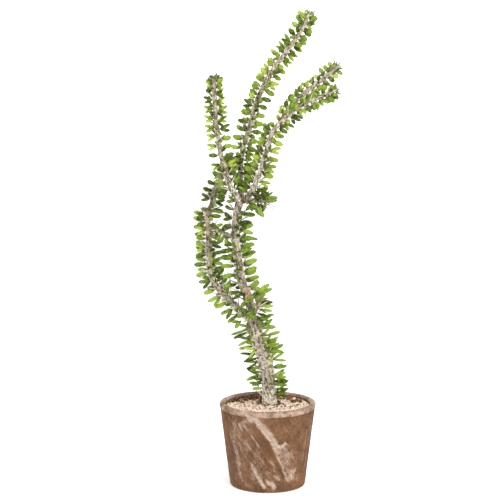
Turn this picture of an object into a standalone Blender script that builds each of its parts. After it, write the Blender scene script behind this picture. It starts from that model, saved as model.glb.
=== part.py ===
"""A potted Madagascar ocotillo: a spiny, branching succulent in a conical clay pot.

Metres, +Z up.  The origin is the centre of the pot's foot and the front faces -Y.
The plant is a set of round stems that fork; every stem carries spiral rows of
areoles, and an areole bears one or two fleshy leaves and one spine.
"""
import bisect
import math

import bmesh
import bpy
from mathutils import Vector

# ---- driving dimensions (millimetres) --------------------------------------
POT_TOP_D = 140.0        # across the lip
POT_FOOT_D = 109.0       # across the foot, before its edge radius
POT_H = 122.0            # height of the lip
WALL = 8.0               # wall thickness
FLOOR = 9.0              # floor thickness
DRAIN_D = 12.0           # hole in the middle of the floor
LIP_R = 3.6              # rounding of the lip
FOOT_R = 2.6             # rounding of the foot
GAP = 0.35               # air between touching pieces

SOIL_TOP = 108.0         # level of the potting soil
GRAVEL_EDGE = 116.2      # top of the gravel beside the wall
GRAVEL_MID = 118.4       # top of the gravel around the trunk

STEM_SIDES = 8
STEM_RING = 11.0         # distance between the rings of a stem
CORD_W = 1.7             # leaf-row cord: width ...
CORD_T = 0.9             # ... and thickness
CORD_GAP = 0.7          # from the stem's skin to the cord
PAD = 1.1                # half length of the pad that a leaf grows from
SPINE_PAD = 1.4          # length of the pad that a spine grows from

# Every stem: guide points (x, y, z) and the stem's radius at each of them,
# the stem or stems it grows out of, its number of leaf rows, the distance
# between the areoles of one row, leaf length at its foot and at its tip, leaf
# width, how many of its areoles bear a pair of leaves, and spine length.
STEMS = {
    "trunk": dict(
        points=[(3, 4, 66), (3, 4, 117), (1, 5, 148), (-2, 6, 175),
                (-10, 7, 200), (-17, 8, 223), (-23, 8, 239)],
        radii=[10.6, 11.4, 10.4, 10.4, 10.0, 9.4, 9.2],
        cut_by=[], rows=6, pitch=11.8, first=65.0, turn=14.0,
        leaf=(16.5, 19.5, 5.1), twins=0.8, spine=10.0, free_tip=False),
    "centre_stem": dict(
        points=[(-22, 8, 234), (-25, 8, 256), (-29, 8, 276), (-37, 8, 296),
                (-40, 8, 314), (-43, 8, 336), (-47, 8, 362), (-46, 8, 390),
                (-39, 7, 419)],
        radii=[6.2, 7.0, 7.8, 7.0, 6.4, 6.2, 6.2, 6.0, 7.0],
        cut_by=["trunk"], rows=5, pitch=12.4, first=8.0, turn=20.0,
        leaf=(17.5, 15.0, 6.7), twins=0.40, spine=13.0, free_tip=False),
    "trunk_spur": dict(
        points=[(-23, 5, 243), (-20, -6, 252), (-16, -13, 262),
                (-12, -17, 274)],
        radii=[2.6, 3.2, 3.0, 2.4],
        cut_by=["trunk", "centre_stem"], rows=3, pitch=8.4, first=9.0,
        turn=-20.0, leaf=(17.0, 18.5, 5.6), twins=0.9, spine=15.0,
        free_tip=True),
    "short_right_shoot": dict(
        points=[(-36, 5, 413), (-25, -3, 415), (-14, -9, 416), (-4, -13, 415)],
        radii=[2.4, 3.0, 2.9, 2.3],
        cut_by=["centre_stem"],
        rows=3, pitch=8.4, first=9.0, turn=60.0, leaf=(12.0, 14.5, 5.6),
        twins=0.9, spine=13.0, free_tip=True),
    "left_stem": dict(
        points=[(-25, 8, 238), (-40, 10, 254), (-49, 12, 263),
                (-58, 15, 272), (-71, 20, 284), (-80, 24, 299),
                (-84, 26, 314), (-86, 27, 340), (-86, 28, 369), (-88, 28, 398)],
        radii=[4.2, 6.4, 5.4, 4.7, 4.6, 4.5, 4.4, 4.3, 4.4, 4.2],
        cut_by=["trunk", "centre_stem"], rows=5, pitch=12.4, first=12.0,
        turn=34.0, leaf=(15.0, 15.0, 6.1), twins=0.40, spine=12.5,
        free_tip=True),
    "left_stem_top": dict(
        points=[(-87, 28, 387), (-81, 29, 403), (-77, 31, 423),
                (-69, 33, 441), (-57, 34, 458), (-50, 34, 472)],
        radii=[3.0, 4.1, 4.1, 3.9, 3.4, 2.8],
        cut_by=["left_stem"], rows=4, pitch=10.6, first=8.0, turn=10.0,
        leaf=(12.5, 12.0, 6.4), twins=0.5, spine=12.0, free_tip=True),
    "left_tall_branch": dict(
        points=[(-38, 7, 413), (-44, 1, 421), (-51, -6, 431), (-59, -15, 453),
                (-65, -20, 476), (-70, -20, 504), (-73, -20, 532),
                (-75, -20, 560), (-76, -20, 591)],
        radii=[4.0, 5.0, 4.6, 4.2, 3.8, 3.7, 3.8, 3.9, 3.1],
        cut_by=["centre_stem", "short_right_shoot"], rows=4, pitch=13.2,
        first=15.0, turn=0.0, leaf=(13.2, 12.0, 6.8), twins=0.9, spine=13.0,
        free_tip=True),
    "top_branch": dict(
        points=[(-38, 7, 412), (-39, 14, 436), (-39, 22, 462),
                (-35, 26, 488), (-27, 31, 514), (-20, 34, 542),
                (-9, 34, 572), (7, 34, 600), (28, 34, 628), (47, 34, 655),
                (59, 34, 680)],
        radii=[4.0, 4.9, 4.6, 4.3, 4.1, 4.0, 3.9, 3.7, 3.6, 3.4, 2.5],
        cut_by=["centre_stem", "short_right_shoot", "left_tall_branch"],
        rows=5, pitch=12.6, first=15.0, turn=24.0, leaf=(13.6, 13.0, 7.0),
        twins=0.3, spine=12.5, free_tip=True),
    "right_branch": dict(
        points=[(-38, 7, 412), (-30, 0, 420), (-22, -12, 432),
                (-13, -25, 455), (-4, -33, 484), (6, -38, 516),
                (30, -40, 542), (52, -40, 557), (74, -40, 566),
                (93, -40, 575)],
        radii=[3.8, 4.8, 4.5, 4.3, 4.0, 3.9, 3.9, 3.7, 3.4, 2.6],
        cut_by=["centre_stem", "short_right_shoot", "left_tall_branch",
                "top_branch"], rows=5,
        pitch=12.0, first=14.0, turn=30.0, leaf=(15.5, 11.6, 7.1), twins=0.6,
        spine=13.5, free_tip=True),
    "upper_right_branch": dict(
        points=[(14, -39, 526), (23, -33, 541), (35, -26, 555),
                (52, -12, 570), (73, -2, 585), (97, 5, 606)],
        radii=[1.9, 3.5, 4.0, 4.2, 4.2, 3.3],
        cut_by=["right_branch"], rows=4, pitch=10.6, first=12.0, turn=45.0,
        leaf=(11.2, 10.2, 6.8), twins=0.45, spine=12.5, free_tip=True),
    "small_left_shoot": dict(
        points=[(-47, 8, 361), (-57, 2, 366), (-67, -5, 371), (-76, -11, 375)],
        radii=[2.0, 2.6, 2.5, 2.0],
        cut_by=["centre_stem"], rows=2, pitch=8.4, first=8.0, turn=70.0,
        leaf=(11.0, 11.5, 5.2), twins=0.9, spine=11.0, free_tip=True),
}


# ---- small maths ------------------------------------------------------------
def noise(a, b, c=0.0):
    """A repeatable number in -1..1 for a place on the plant."""
    x = math.sin(a * 12.9898 + b * 78.233 + c * 37.719 + 4.1) * 43758.5453
    return 2.0 * (x - math.floor(x)) - 1.0


class Path:
    """A smooth centreline through guide points, with a frame that doesn't spin."""

    def __init__(self, points, radii, step=1.0):
        pts = [Vector(p) for p in points]
        ends = [pts[0] * 2 - pts[1]] + pts + [pts[-1] * 2 - pts[-2]]
        rad = [radii[0]] + list(radii) + [radii[-1]]
        self.p, self.r = [], []
        for i in range(1, len(ends) - 2):
            a, b, c, d = ends[i - 1:i + 3]
            knots = [0.0]
            for u, v in ((a, b), (b, c), (c, d)):
                knots.append(knots[-1] + math.sqrt((v - u).length))
            t0, t1, t2, t3 = knots
            n = max(2, round((c - b).length / step))
            for k in range(n + (i == len(ends) - 3)):
                f = k / n
                t = t1 + (t2 - t1) * f
                a1 = a * ((t1 - t) / (t1 - t0)) + b * ((t - t0) / (t1 - t0))
                a2 = b * ((t2 - t) / (t2 - t1)) + c * ((t - t1) / (t2 - t1))
                a3 = c * ((t3 - t) / (t3 - t2)) + d * ((t - t2) / (t3 - t2))
                b1 = a1 * ((t2 - t) / (t2 - t0)) + a2 * ((t - t0) / (t2 - t0))
                b2 = a2 * ((t3 - t) / (t3 - t1)) + a3 * ((t - t1) / (t3 - t1))
                self.p.append(b1 * ((t2 - t) / (t2 - t1))
                              + b2 * ((t - t1) / (t2 - t1)))
                e = f * f * (3 - 2 * f)
                self.r.append(rad[i] * (1 - e) + rad[i + 1] * e)
        self.s = [0.0]
        for u, v in zip(self.p, self.p[1:]):
            self.s.append(self.s[-1] + (v - u).length)
        self.length = self.s[-1]
        self.t = []
        for i in range(len(self.p)):
            lo, hi = max(0, i - 1), min(len(self.p) - 1, i + 1)
            self.t.append((self.p[hi] - self.p[lo]).normalized())
        side = Vector((1, 0, 0))
        self.n = []
        for t in self.t:
            side = (side - t * side.dot(t)).normalized()
            self.n.append(side.copy())

    def at(self, s):
        """Centre, direction, first and second side vectors, radius."""
        s = min(max(s, 0.0), self.length)
        i = min(bisect.bisect_right(self.s, s) - 1, len(self.s) - 2)
        f = (s - self.s[i]) / (self.s[i + 1] - self.s[i])
        t = self.t[i].lerp(self.t[i + 1], f).normalized()
        n = self.n[i].lerp(self.n[i + 1], f)
        n = (n - t * n.dot(t)).normalized()
        return (self.p[i].lerp(self.p[i + 1], f), t, n, t.cross(n),
                self.r[i] * (1 - f) + self.r[i + 1] * f)


PATHS = {name: Path(d["points"], d["radii"]) for name, d in STEMS.items()}
ORDER = {name: i for i, name in enumerate(STEMS)}


def skin_gap(point, own):
    """Distance from a point to the skin of the nearest stem but its own."""
    best = 1e9
    for name, path in PATHS.items():
        if name == own:
            continue
        for q, r in zip(path.p[::2], path.r[::2]):
            best = min(best, (q - point).length - r)
    return best


def segment_gap(p1, q1, p2, q2):
    """Shortest distance between two straight segments."""
    d1, d2, r = q1 - p1, q2 - p2, p1 - p2
    a, e, f = d1.dot(d1), d2.dot(d2), d2.dot(r)
    c, b = d1.dot(r), d1.dot(d2)
    den = a * e - b * b
    s = min(max((b * f - c * e) / den, 0.0), 1.0) if den > 1e-9 else 0.0
    t = (b * s + f) / e
    if t < 0.0:
        t, s = 0.0, min(max(-c / a, 0.0), 1.0)
    elif t > 1.0:
        t, s = 1.0, min(max((b - c) / a, 0.0), 1.0)
    return ((p1 + d1 * s) - (p2 + d2 * t)).length


# ---- where the leaves and spines are ----------------------------------------
def row_angle(stem, row, s):
    d = STEMS[stem]
    return math.radians(d["turn"] + 360.0 * row / d["rows"] + 0.30 * s)


def lay_out_rows():
    """Areoles of every leaf row: stem -> row -> list of dicts, tip last.

    A leaf or spine that would touch another stem, or a leaf or spine of
    another stem, has been shed.  A row stops where another stem is too near.
    """
    placed = []          # (stem, start, end, half width)
    rows = {}
    for stem, d in STEMS.items():
        path, k = PATHS[stem], ORDER[stem]
        rows[stem] = []
        for row in range(d["rows"]):
            # laid out from the tip backwards: areoles crowd at a growing tip
            tip = 26.0 if d["free_tip"] else 0.0
            phase = (row * 0.4) % 1.0
            stations, s = [], path.length - PAD - SPINE_PAD - 0.6
            s -= phase * d["pitch"] * (0.55 if d["free_tip"] else 1.0)
            while s >= d["first"]:
                stations.append(s + 0.5 * noise(k, row, round(s)))
                young = max(0.0, 1.0 - (path.length - s) / tip) if tip else 0.0
                s -= d["pitch"] * (1.0 - 0.42 * young)
            stations.reverse()
            run, best = [], []
            reach = 0.0          # of the last areole's leaves, towards the tip
            for i, s in enumerate(stations):
                c, t, n, b, r = path.at(s)
                a = row_angle(stem, row, s)
                out = n * math.cos(a) + b * math.sin(a)
                near = min(
                    skin_gap(path.at(u)[0] + out * (path.at(u)[4] + 1.6), stem)
                    for u in (s - PAD, s, s + PAD + SPINE_PAD,
                              min(s + 0.5 * d["pitch"], path.length)))
                if near < 2.0:
                    best = run if len(run) > len(best) else best
                    run = []
                    continue
                end = max(0.0, 1.0 - (path.length - s) / 26.0)
                if not d["free_tip"]:
                    end = 0.0
                side = t.cross(out)
                along = (s - d["first"]) / (path.length - d["first"])
                long = d["leaf"][0] + (d["leaf"][1] - d["leaf"][0]) * along
                long *= 1 + 0.10 * noise(k, row, s + 4)
                long *= 1 - 0.12 * end
                lwid = d["leaf"][2] * (1 + 0.10 * noise(k, row, s + 5))
                half = math.radians(17.5 + 1.5 * noise(k, row, s + 11))
                # a pair needs room before and behind it in its own row
                apart = 0.5 * PAD + 0.75 * long * math.sin(half) \
                    + (0.42 if d["pitch"] < 10 else 0.37) * lwid
                before = s - stations[i - 1] if i else 99.0
                behind = stations[i + 1] - s if i + 1 < len(stations) else 99.0
                twins = 0.5 + 0.5 * noise(k, row, s + 9) < d["twins"] \
                    and apart + reach < before and apart + 0.5 * lwid < behind
                reach = apart if twins else 0.5 * lwid
                hand = 1 if noise(k, row, s + 10) > 0 else -1
                lean = math.radians((3 if twins else 6)
                                    + (4 if twins else 9) * noise(k, row, s + 1)
                                    + 7 * end)
                swing = math.radians(-hand * (5 + 4 * noise(k, row, s + 2)))
                roll = math.radians((8 if twins else 24) * noise(k, row, s + 3))
                rise = math.radians((47 if twins else 40)
                                    + 5 * noise(k, row, s + 6) + 22 * end)
                sway = math.radians(hand * (19 + 6 * noise(k, row, s + 7)))
                sdir = (out * math.cos(rise) + t * math.sin(rise)
                        + side * math.sin(sway)).normalized()
                slen = d["spine"] * (1 + 0.22 * noise(k, row, s + 8))
                root = c + out * (r + CORD_GAP + CORD_T)
                sroot = root + t * (PAD + 0.5 * SPINE_PAD)
                stip = sroot + sdir * slen
                leaves = []
                for sign in ((-1, 1) if twins else (0,)):
                    tilt = lean + sign * half
                    ldir = (out * math.cos(tilt) + t * math.sin(tilt)
                            + side * math.sin(swing)).normalized()
                    wide = (t - ldir * t.dot(ldir)).normalized()
                    wide = wide * math.cos(roll) + ldir.cross(wide) * math.sin(roll)
                    llen = long * (0.93 if sign < 0 else 1.0)
                    w = lwid
                    if sign:
                        w = min(0.88 * lwid,
                                PAD + 1.12 * llen * math.sin(half) - 0.4)
                    lroot = root + t * (0.5 * PAD * sign)
                    ltip = lroot + ldir * llen
                    if any(skin_gap(lroot.lerp(ltip, f), stem) < 3.9
                           for f in (0.35, 0.7, 1.0)):
                        continue
                    if any(other != stem
                           and segment_gap(lroot, ltip, p, q) < gap + 2.9
                           for other, p, q, gap in placed):
                        continue
                    leaves.append(dict(side=sign, dir=ldir, wide=wide, len=llen,
                                       wid=w, root=lroot))
                spine_ok = all(skin_gap(sroot.lerp(stip, f), stem) >= 2.6
                               for f in (0.35, 0.7, 1.0))
                for other, p, q, gap in placed:
                    if other != stem and spine_ok \
                            and segment_gap(sroot, stip, p, q) < gap + 0.9:
                        spine_ok = False
                for leaf in leaves:
                    placed.append((stem, leaf["root"],
                                   leaf["root"] + leaf["dir"] * leaf["len"],
                                   0.5 * leaf["wid"]))
                if spine_ok:
                    placed.append((stem, sroot, stip, 0.8))
                run.append(dict(s=s, angle=a, leaves=leaves, spine=spine_ok,
                                sdir=sdir, slen=slen, sroot=sroot))
            best = run if len(run) > len(best) else best
            rows[stem].append(best)
    return rows


# ---- building helpers ---------------------------------------------------------
def collection(name, hidden=False):
    c = bpy.data.collections.new(name)
    bpy.context.scene.collection.children.link(c)
    c.hide_render = hidden
    return c


def material(name, rgb, rough):
    m = bpy.data.materials.new(name)
    m.use_nodes = True
    shader = m.node_tree.nodes["Principled BSDF"]
    shader.inputs["Base Color"].default_value = (*rgb, 1.0)
    shader.inputs["Roughness"].default_value = rough
    return m


def to_object(name, bm, where, mat=None):
    bmesh.ops.recalc_face_normals(bm, faces=bm.faces[:])
    for v in bm.verts:
        v.co *= 0.001
    mesh = bpy.data.meshes.new(name)
    bm.to_mesh(mesh)
    bm.free()
    ob = bpy.data.objects.new(name, mesh)
    where.objects.link(ob)
    if mat:
        mesh.materials.append(mat)
    return ob


def tube(path, sides, ring, grow=0.0, round_tip=False):
    """A circle swept along a path by repeated extrusion, capped at both ends."""
    n = max(2, math.ceil(path.length / ring))
    stops = [(path.length * i / n, 1.0) for i in range(n + 1)]
    rings = []
    for s, f in stops:
        c, t, u, v, r = path.at(s)
        rings.append((c, u, v, r * f + grow))
    if round_tip:
        c, t, u, v, r = path.at(path.length)
        rings.append((c + t * 0.55 * r, u, v, 0.72 * r + grow))
    if grow:
        c, t, u, v, r = path.at(0.0)
        rings.insert(0, (c - t * grow, u, v, r + grow))
        c, u, v, r = rings[-1]
        t = path.at(path.length)[1]
        rings.append((c + t * grow, u, v, r))
    bm = bmesh.new()
    made = bmesh.ops.create_circle(bm, cap_ends=False, segments=sides,
                                   radius=1.0)
    verts = made["verts"]
    edges = bm.edges[:]
    angle = {v: math.atan2(v.co.y, v.co.x) for v in verts}

    def place(vs, ring_):
        c, u, v, r = ring_
        for w in vs:
            a = angle[w]
            w.co = c + (u * math.cos(a) + v * math.sin(a)) * r

    place(verts, rings[0])
    for ring_ in rings[1:]:
        out = bmesh.ops.extrude_edge_only(bm, edges=edges)
        new = [g for g in out["geom"] if isinstance(g, bmesh.types.BMVert)]
        edges = [g for g in out["geom"] if isinstance(g, bmesh.types.BMEdge)
                 and g.verts[0] in new and g.verts[1] in new]
        for w in new:
            twin = min(verts, key=lambda o: (o.co - w.co).length_squared)
            angle[w] = angle[twin]
        verts = new
        place(new, ring_)
    bmesh.ops.holes_fill(bm, edges=bm.edges[:], sides=sides)
    return bm


def blade(bm, leaf, l0, l1, r1, r0):
    """A leaf lofted from a pad through its widest section to a blunt edge."""
    base = (l0.co + l1.co + r0.co + r1.co) / 4
    d, w = leaf["dir"], leaf["wide"]
    h = d.cross(w)
    if h.dot(r0.co - l0.co) < 0:
        h = -h
    if w.dot(l1.co - l0.co) < 0:
        w = -w
    mid = base + d * (0.56 * leaf["len"])
    tip = base + d * leaf["len"]
    ww, hh = leaf["wid"] / 2, 0.75
    m00 = bm.verts.new(mid - w * ww - h * hh)
    m10 = bm.verts.new(mid + w * ww - h * hh)
    m11 = bm.verts.new(mid + w * ww + h * hh)
    m01 = bm.verts.new(mid - w * ww + h * hh)
    e0 = bm.verts.new(tip - w * ww * 0.5)
    e1 = bm.verts.new(tip + w * ww * 0.5)
    for vs in ((l0, l1, m10, m00), (l1, r1, m11, m10), (r1, r0, m01, m11),
               (r0, l0, m00, m01), (m00, m10, e1, e0), (m11, m01, e0, e1),
               (m10, m11, e1), (m01, m00, e0)):
        bm.faces.new(vs)


def leaf_row(stem, areoles):
    """One closed body: a slim cord along the stem with leaves and spines on it.

    The cord is a loft of triangular sections.  Each leaf is a loft from a
    pad on the cord through its widest section to a blunt edge, and each
    spine rises from its own pad to a point.
    """
    path = PATHS[stem]
    bm = bmesh.new()

    def section(s, angle, outer=True):
        c, t, n, b, r = path.at(s)
        out = n * math.cos(angle) + b * math.sin(angle)
        side = t.cross(out)
        base = c + out * (r + CORD_GAP)
        if not outer:
            return bm.verts.new(base)
        base += out * CORD_T
        return (bm.verts.new(base - side * CORD_W / 2),
                bm.verts.new(base + side * CORD_W / 2))

    def skinned(*vs):
        bm.faces.new(vs)

    before = None
    for a in areoles:
        s, g = a["s"], a["angle"]
        spine_end = min(s + PAD + SPINE_PAD, path.length)
        k = section(s, g, outer=False)
        l0, r0 = section(s - PAD, g)
        l1, r1 = section(s + PAD, g)
        l2, r2 = section(spine_end, g)
        if before is None:
            skinned(k, r0, l0)
        else:
            kb, lb, rb = before
            skinned(kb, lb, l0, k)
            skinned(rb, kb, k, r0)
            skinned(lb, rb, r0, l0)
        skinned(k, l1, l2)
        skinned(k, r2, r1)
        if len(a["leaves"]) == 2:      # a pair of leaves shares the cushion
            lm, rm = section(s, g)
            skinned(k, l0, lm)
            skinned(k, lm, l1)
            skinned(k, rm, r0)
            skinned(k, r1, rm)
            blade(bm, a["leaves"][0], l0, lm, rm, r0)
            blade(bm, a["leaves"][1], lm, l1, r1, rm)
        else:
            skinned(k, l0, l1)
            skinned(k, r1, r0)
            if a["leaves"]:
                blade(bm, a["leaves"][0], l0, l1, r1, r0)
            else:
                skinned(l0, l1, r1, r0)
        # spine
        if a["spine"]:
            base = (l1.co + l2.co + r1.co + r2.co) / 4
            tip = bm.verts.new(base + a["sdir"] * a["slen"])
            skinned(l1, l2, tip)
            skinned(l2, r2, tip)
            skinned(r2, r1, tip)
            skinned(r1, l1, tip)
        else:
            skinned(l1, l2, r2, r1)
        before = (k, l2, r2)
    kb, lb, rb = before
    skinned(kb, lb, rb)
    return bm


def turned(name, profile, steps, where, mat=None, closed=True):
    """A profile in the XZ plane turned about Z with the Screw modifier."""
    mesh = bpy.data.meshes.new(name)
    n = len(profile)
    edges = [(i, i + 1) for i in range(n - 1)] + ([(n - 1, 0)] if closed else [])
    mesh.from_pydata([(x / 1000, 0, z / 1000) for x, z in profile], edges, [])
    ob = bpy.data.objects.new(name, mesh)
    where.objects.link(ob)
    screw = ob.modifiers.new("Turn", "SCREW")
    screw.axis, screw.angle = "Z", 2 * math.pi
    screw.steps = screw.render_steps = steps
    screw.use_merge_vertices, screw.merge_threshold = True, 0.00005
    screw.use_normal_calculate = True
    if mat:
        mesh.materials.append(mat)
    return ob


def cut(ob, cutter):
    m = ob.modifiers.new("Cut " + cutter.name, "BOOLEAN")
    m.operation, m.solver, m.object = "DIFFERENCE", "EXACT", cutter


def arc(cx, cz, r, a0, a1, n):
    return [(cx + r * math.cos(math.radians(a0 + (a1 - a0) * i / n)),
             cz + r * math.sin(math.radians(a0 + (a1 - a0) * i / n)))
            for i in range(n + 1)]


# ---- the object ---------------------------------------------------------------
for old in list(bpy.data.objects):
    bpy.data.objects.remove(old, do_unlink=True)

plant = collection("potted_succulent")
tools = collection("cutters", hidden=True)

R_TOP, R_FOOT = POT_TOP_D / 2, POT_FOOT_D / 2
SLOPE = (R_TOP - R_FOOT) / POT_H


def outer_r(z):
    return R_FOOT + SLOPE * z


def inner_r(z):
    return outer_r(z) - WALL


# pot: a turned shell, down the outside, across the foot, up the bore
lip = arc(R_TOP - LIP_R - 0.3, POT_H - LIP_R, LIP_R, 72, 0, 3)
foot = arc(R_FOOT - FOOT_R + 0.3, FOOT_R, FOOT_R, -10, -90, 2)
inside = [(DRAIN_D / 2, 0.0), (DRAIN_D / 2, FLOOR), (inner_r(FLOOR) - 4, FLOOR),
          (inner_r(FLOOR + 4), FLOOR + 4), (inner_r(POT_H - 3), POT_H - 3.2),
          (inner_r(POT_H) + 2.2, POT_H - 0.1)]
pot = turned("pot", lip + foot + inside, 48, plant,
             material("fired_clay", (0.25, 0.14, 0.085), 0.92))

# potting soil: fills the bore up to SOIL_TOP, with the trunk standing in it
soil = turned("potting_soil",
              [(0.0, SOIL_TOP), (inner_r(SOIL_TOP) - GAP, SOIL_TOP),
               (inner_r(FLOOR + 5) - GAP, FLOOR + 5),
               (inner_r(FLOOR) - 4 - GAP, FLOOR + GAP), (0.0, FLOOR + GAP)],
              32, plant, material("soil", (0.045, 0.028, 0.018), 0.95),
              closed=False)

# gravel: a loose bed that rises towards the trunk, its top left uneven
ga, gb = SOIL_TOP + GAP, GRAVEL_EDGE
bed = [(0.0, GRAVEL_MID)]
for i in range(1, 5):
    f = i / 5
    bed.append((f * inner_r(gb), GRAVEL_MID + (gb - GRAVEL_MID) * f))
bed += [(inner_r(gb) - 0.5, gb), (inner_r(ga) - 0.5, ga), (0.0, ga)]
gravel = turned("gravel_topdressing", bed, 36, plant,
                material("gravel", (0.62, 0.52, 0.38), 0.9), closed=False)

BARK = (0.46, 0.41, 0.33)
LEAF = (0.20, 0.34, 0.03)
stem_obs, cutters = {}, {}
for name, d in STEMS.items():
    bm = tube(PATHS[name], STEM_SIDES, STEM_RING, round_tip=d["free_tip"])
    stem_obs[name] = to_object(name, bm, plant, material(name + "_bark", BARK, 0.8))
    grown = tube(PATHS[name], STEM_SIDES, STEM_RING, grow=GAP,
                 round_tip=d["free_tip"])
    cutters[name] = to_object("around_" + name, grown, tools)
    cutters[name].display_type = "WIRE"
for name, d in STEMS.items():
    for other in d["cut_by"]:
        cut(stem_obs[name], cutters[other])
cut(soil, cutters["trunk"])
cut(gravel, cutters["trunk"])

ROWS = lay_out_rows()
for stem, rows in ROWS.items():
    for i, areoles in enumerate(rows):
        if not areoles:
            continue
        name = "%s_leaves_%d" % (stem, i + 1)
        to_object(name, leaf_row(stem, areoles), plant,
                  material(name + "_green", LEAF, 0.45))

for ob in plant.objects:
    if ob.name in ("pot", "potting_soil", "gravel_topdressing") or ob.name in STEMS:
        for poly in ob.data.polygons:
            poly.use_smooth = True
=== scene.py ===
"""Looks for the potted succulent: bark, leaves, spines, clay, gravel and light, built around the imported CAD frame."""
import bisect
import math

import bpy
import numpy as np
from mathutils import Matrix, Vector
from mathutils import noise as perlin


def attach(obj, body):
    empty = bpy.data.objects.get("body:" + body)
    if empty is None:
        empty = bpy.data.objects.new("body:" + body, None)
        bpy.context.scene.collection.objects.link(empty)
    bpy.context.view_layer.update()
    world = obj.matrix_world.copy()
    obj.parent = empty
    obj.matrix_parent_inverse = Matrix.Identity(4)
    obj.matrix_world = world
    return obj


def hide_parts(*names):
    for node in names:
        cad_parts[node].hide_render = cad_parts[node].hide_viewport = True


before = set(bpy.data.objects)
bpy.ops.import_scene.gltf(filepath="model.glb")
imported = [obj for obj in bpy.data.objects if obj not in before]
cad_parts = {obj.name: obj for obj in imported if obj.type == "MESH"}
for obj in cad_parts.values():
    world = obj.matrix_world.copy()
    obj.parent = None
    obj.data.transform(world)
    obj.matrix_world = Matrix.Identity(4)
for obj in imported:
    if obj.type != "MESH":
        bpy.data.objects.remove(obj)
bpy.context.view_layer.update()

# ---- driving dimensions (millimetres) --------------------------------------
POT_TOP_D = 140.0        # across the lip
POT_FOOT_D = 109.0       # across the foot, before its edge radius
POT_H = 122.0            # height of the lip
WALL = 8.0               # wall thickness
FLOOR = 9.0              # floor thickness
DRAIN_D = 12.0           # hole in the middle of the floor
LIP_R = 3.6              # rounding of the lip
FOOT_R = 2.6             # rounding of the foot
GAP = 0.35               # air between touching pieces

SOIL_TOP = 108.0         # level of the potting soil
GRAVEL_EDGE = 116.2      # top of the gravel beside the wall
GRAVEL_MID = 118.4       # top of the gravel around the trunk

STEM_SIDES = 8
STEM_RING = 11.0         # distance between the rings of a stem
CORD_W = 1.7             # leaf-row cord: width ...
CORD_T = 0.9             # ... and thickness
CORD_GAP = 0.7          # from the stem's skin to the cord
PAD = 1.1                # half length of the pad that a leaf grows from
SPINE_PAD = 1.4          # length of the pad that a spine grows from

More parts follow.
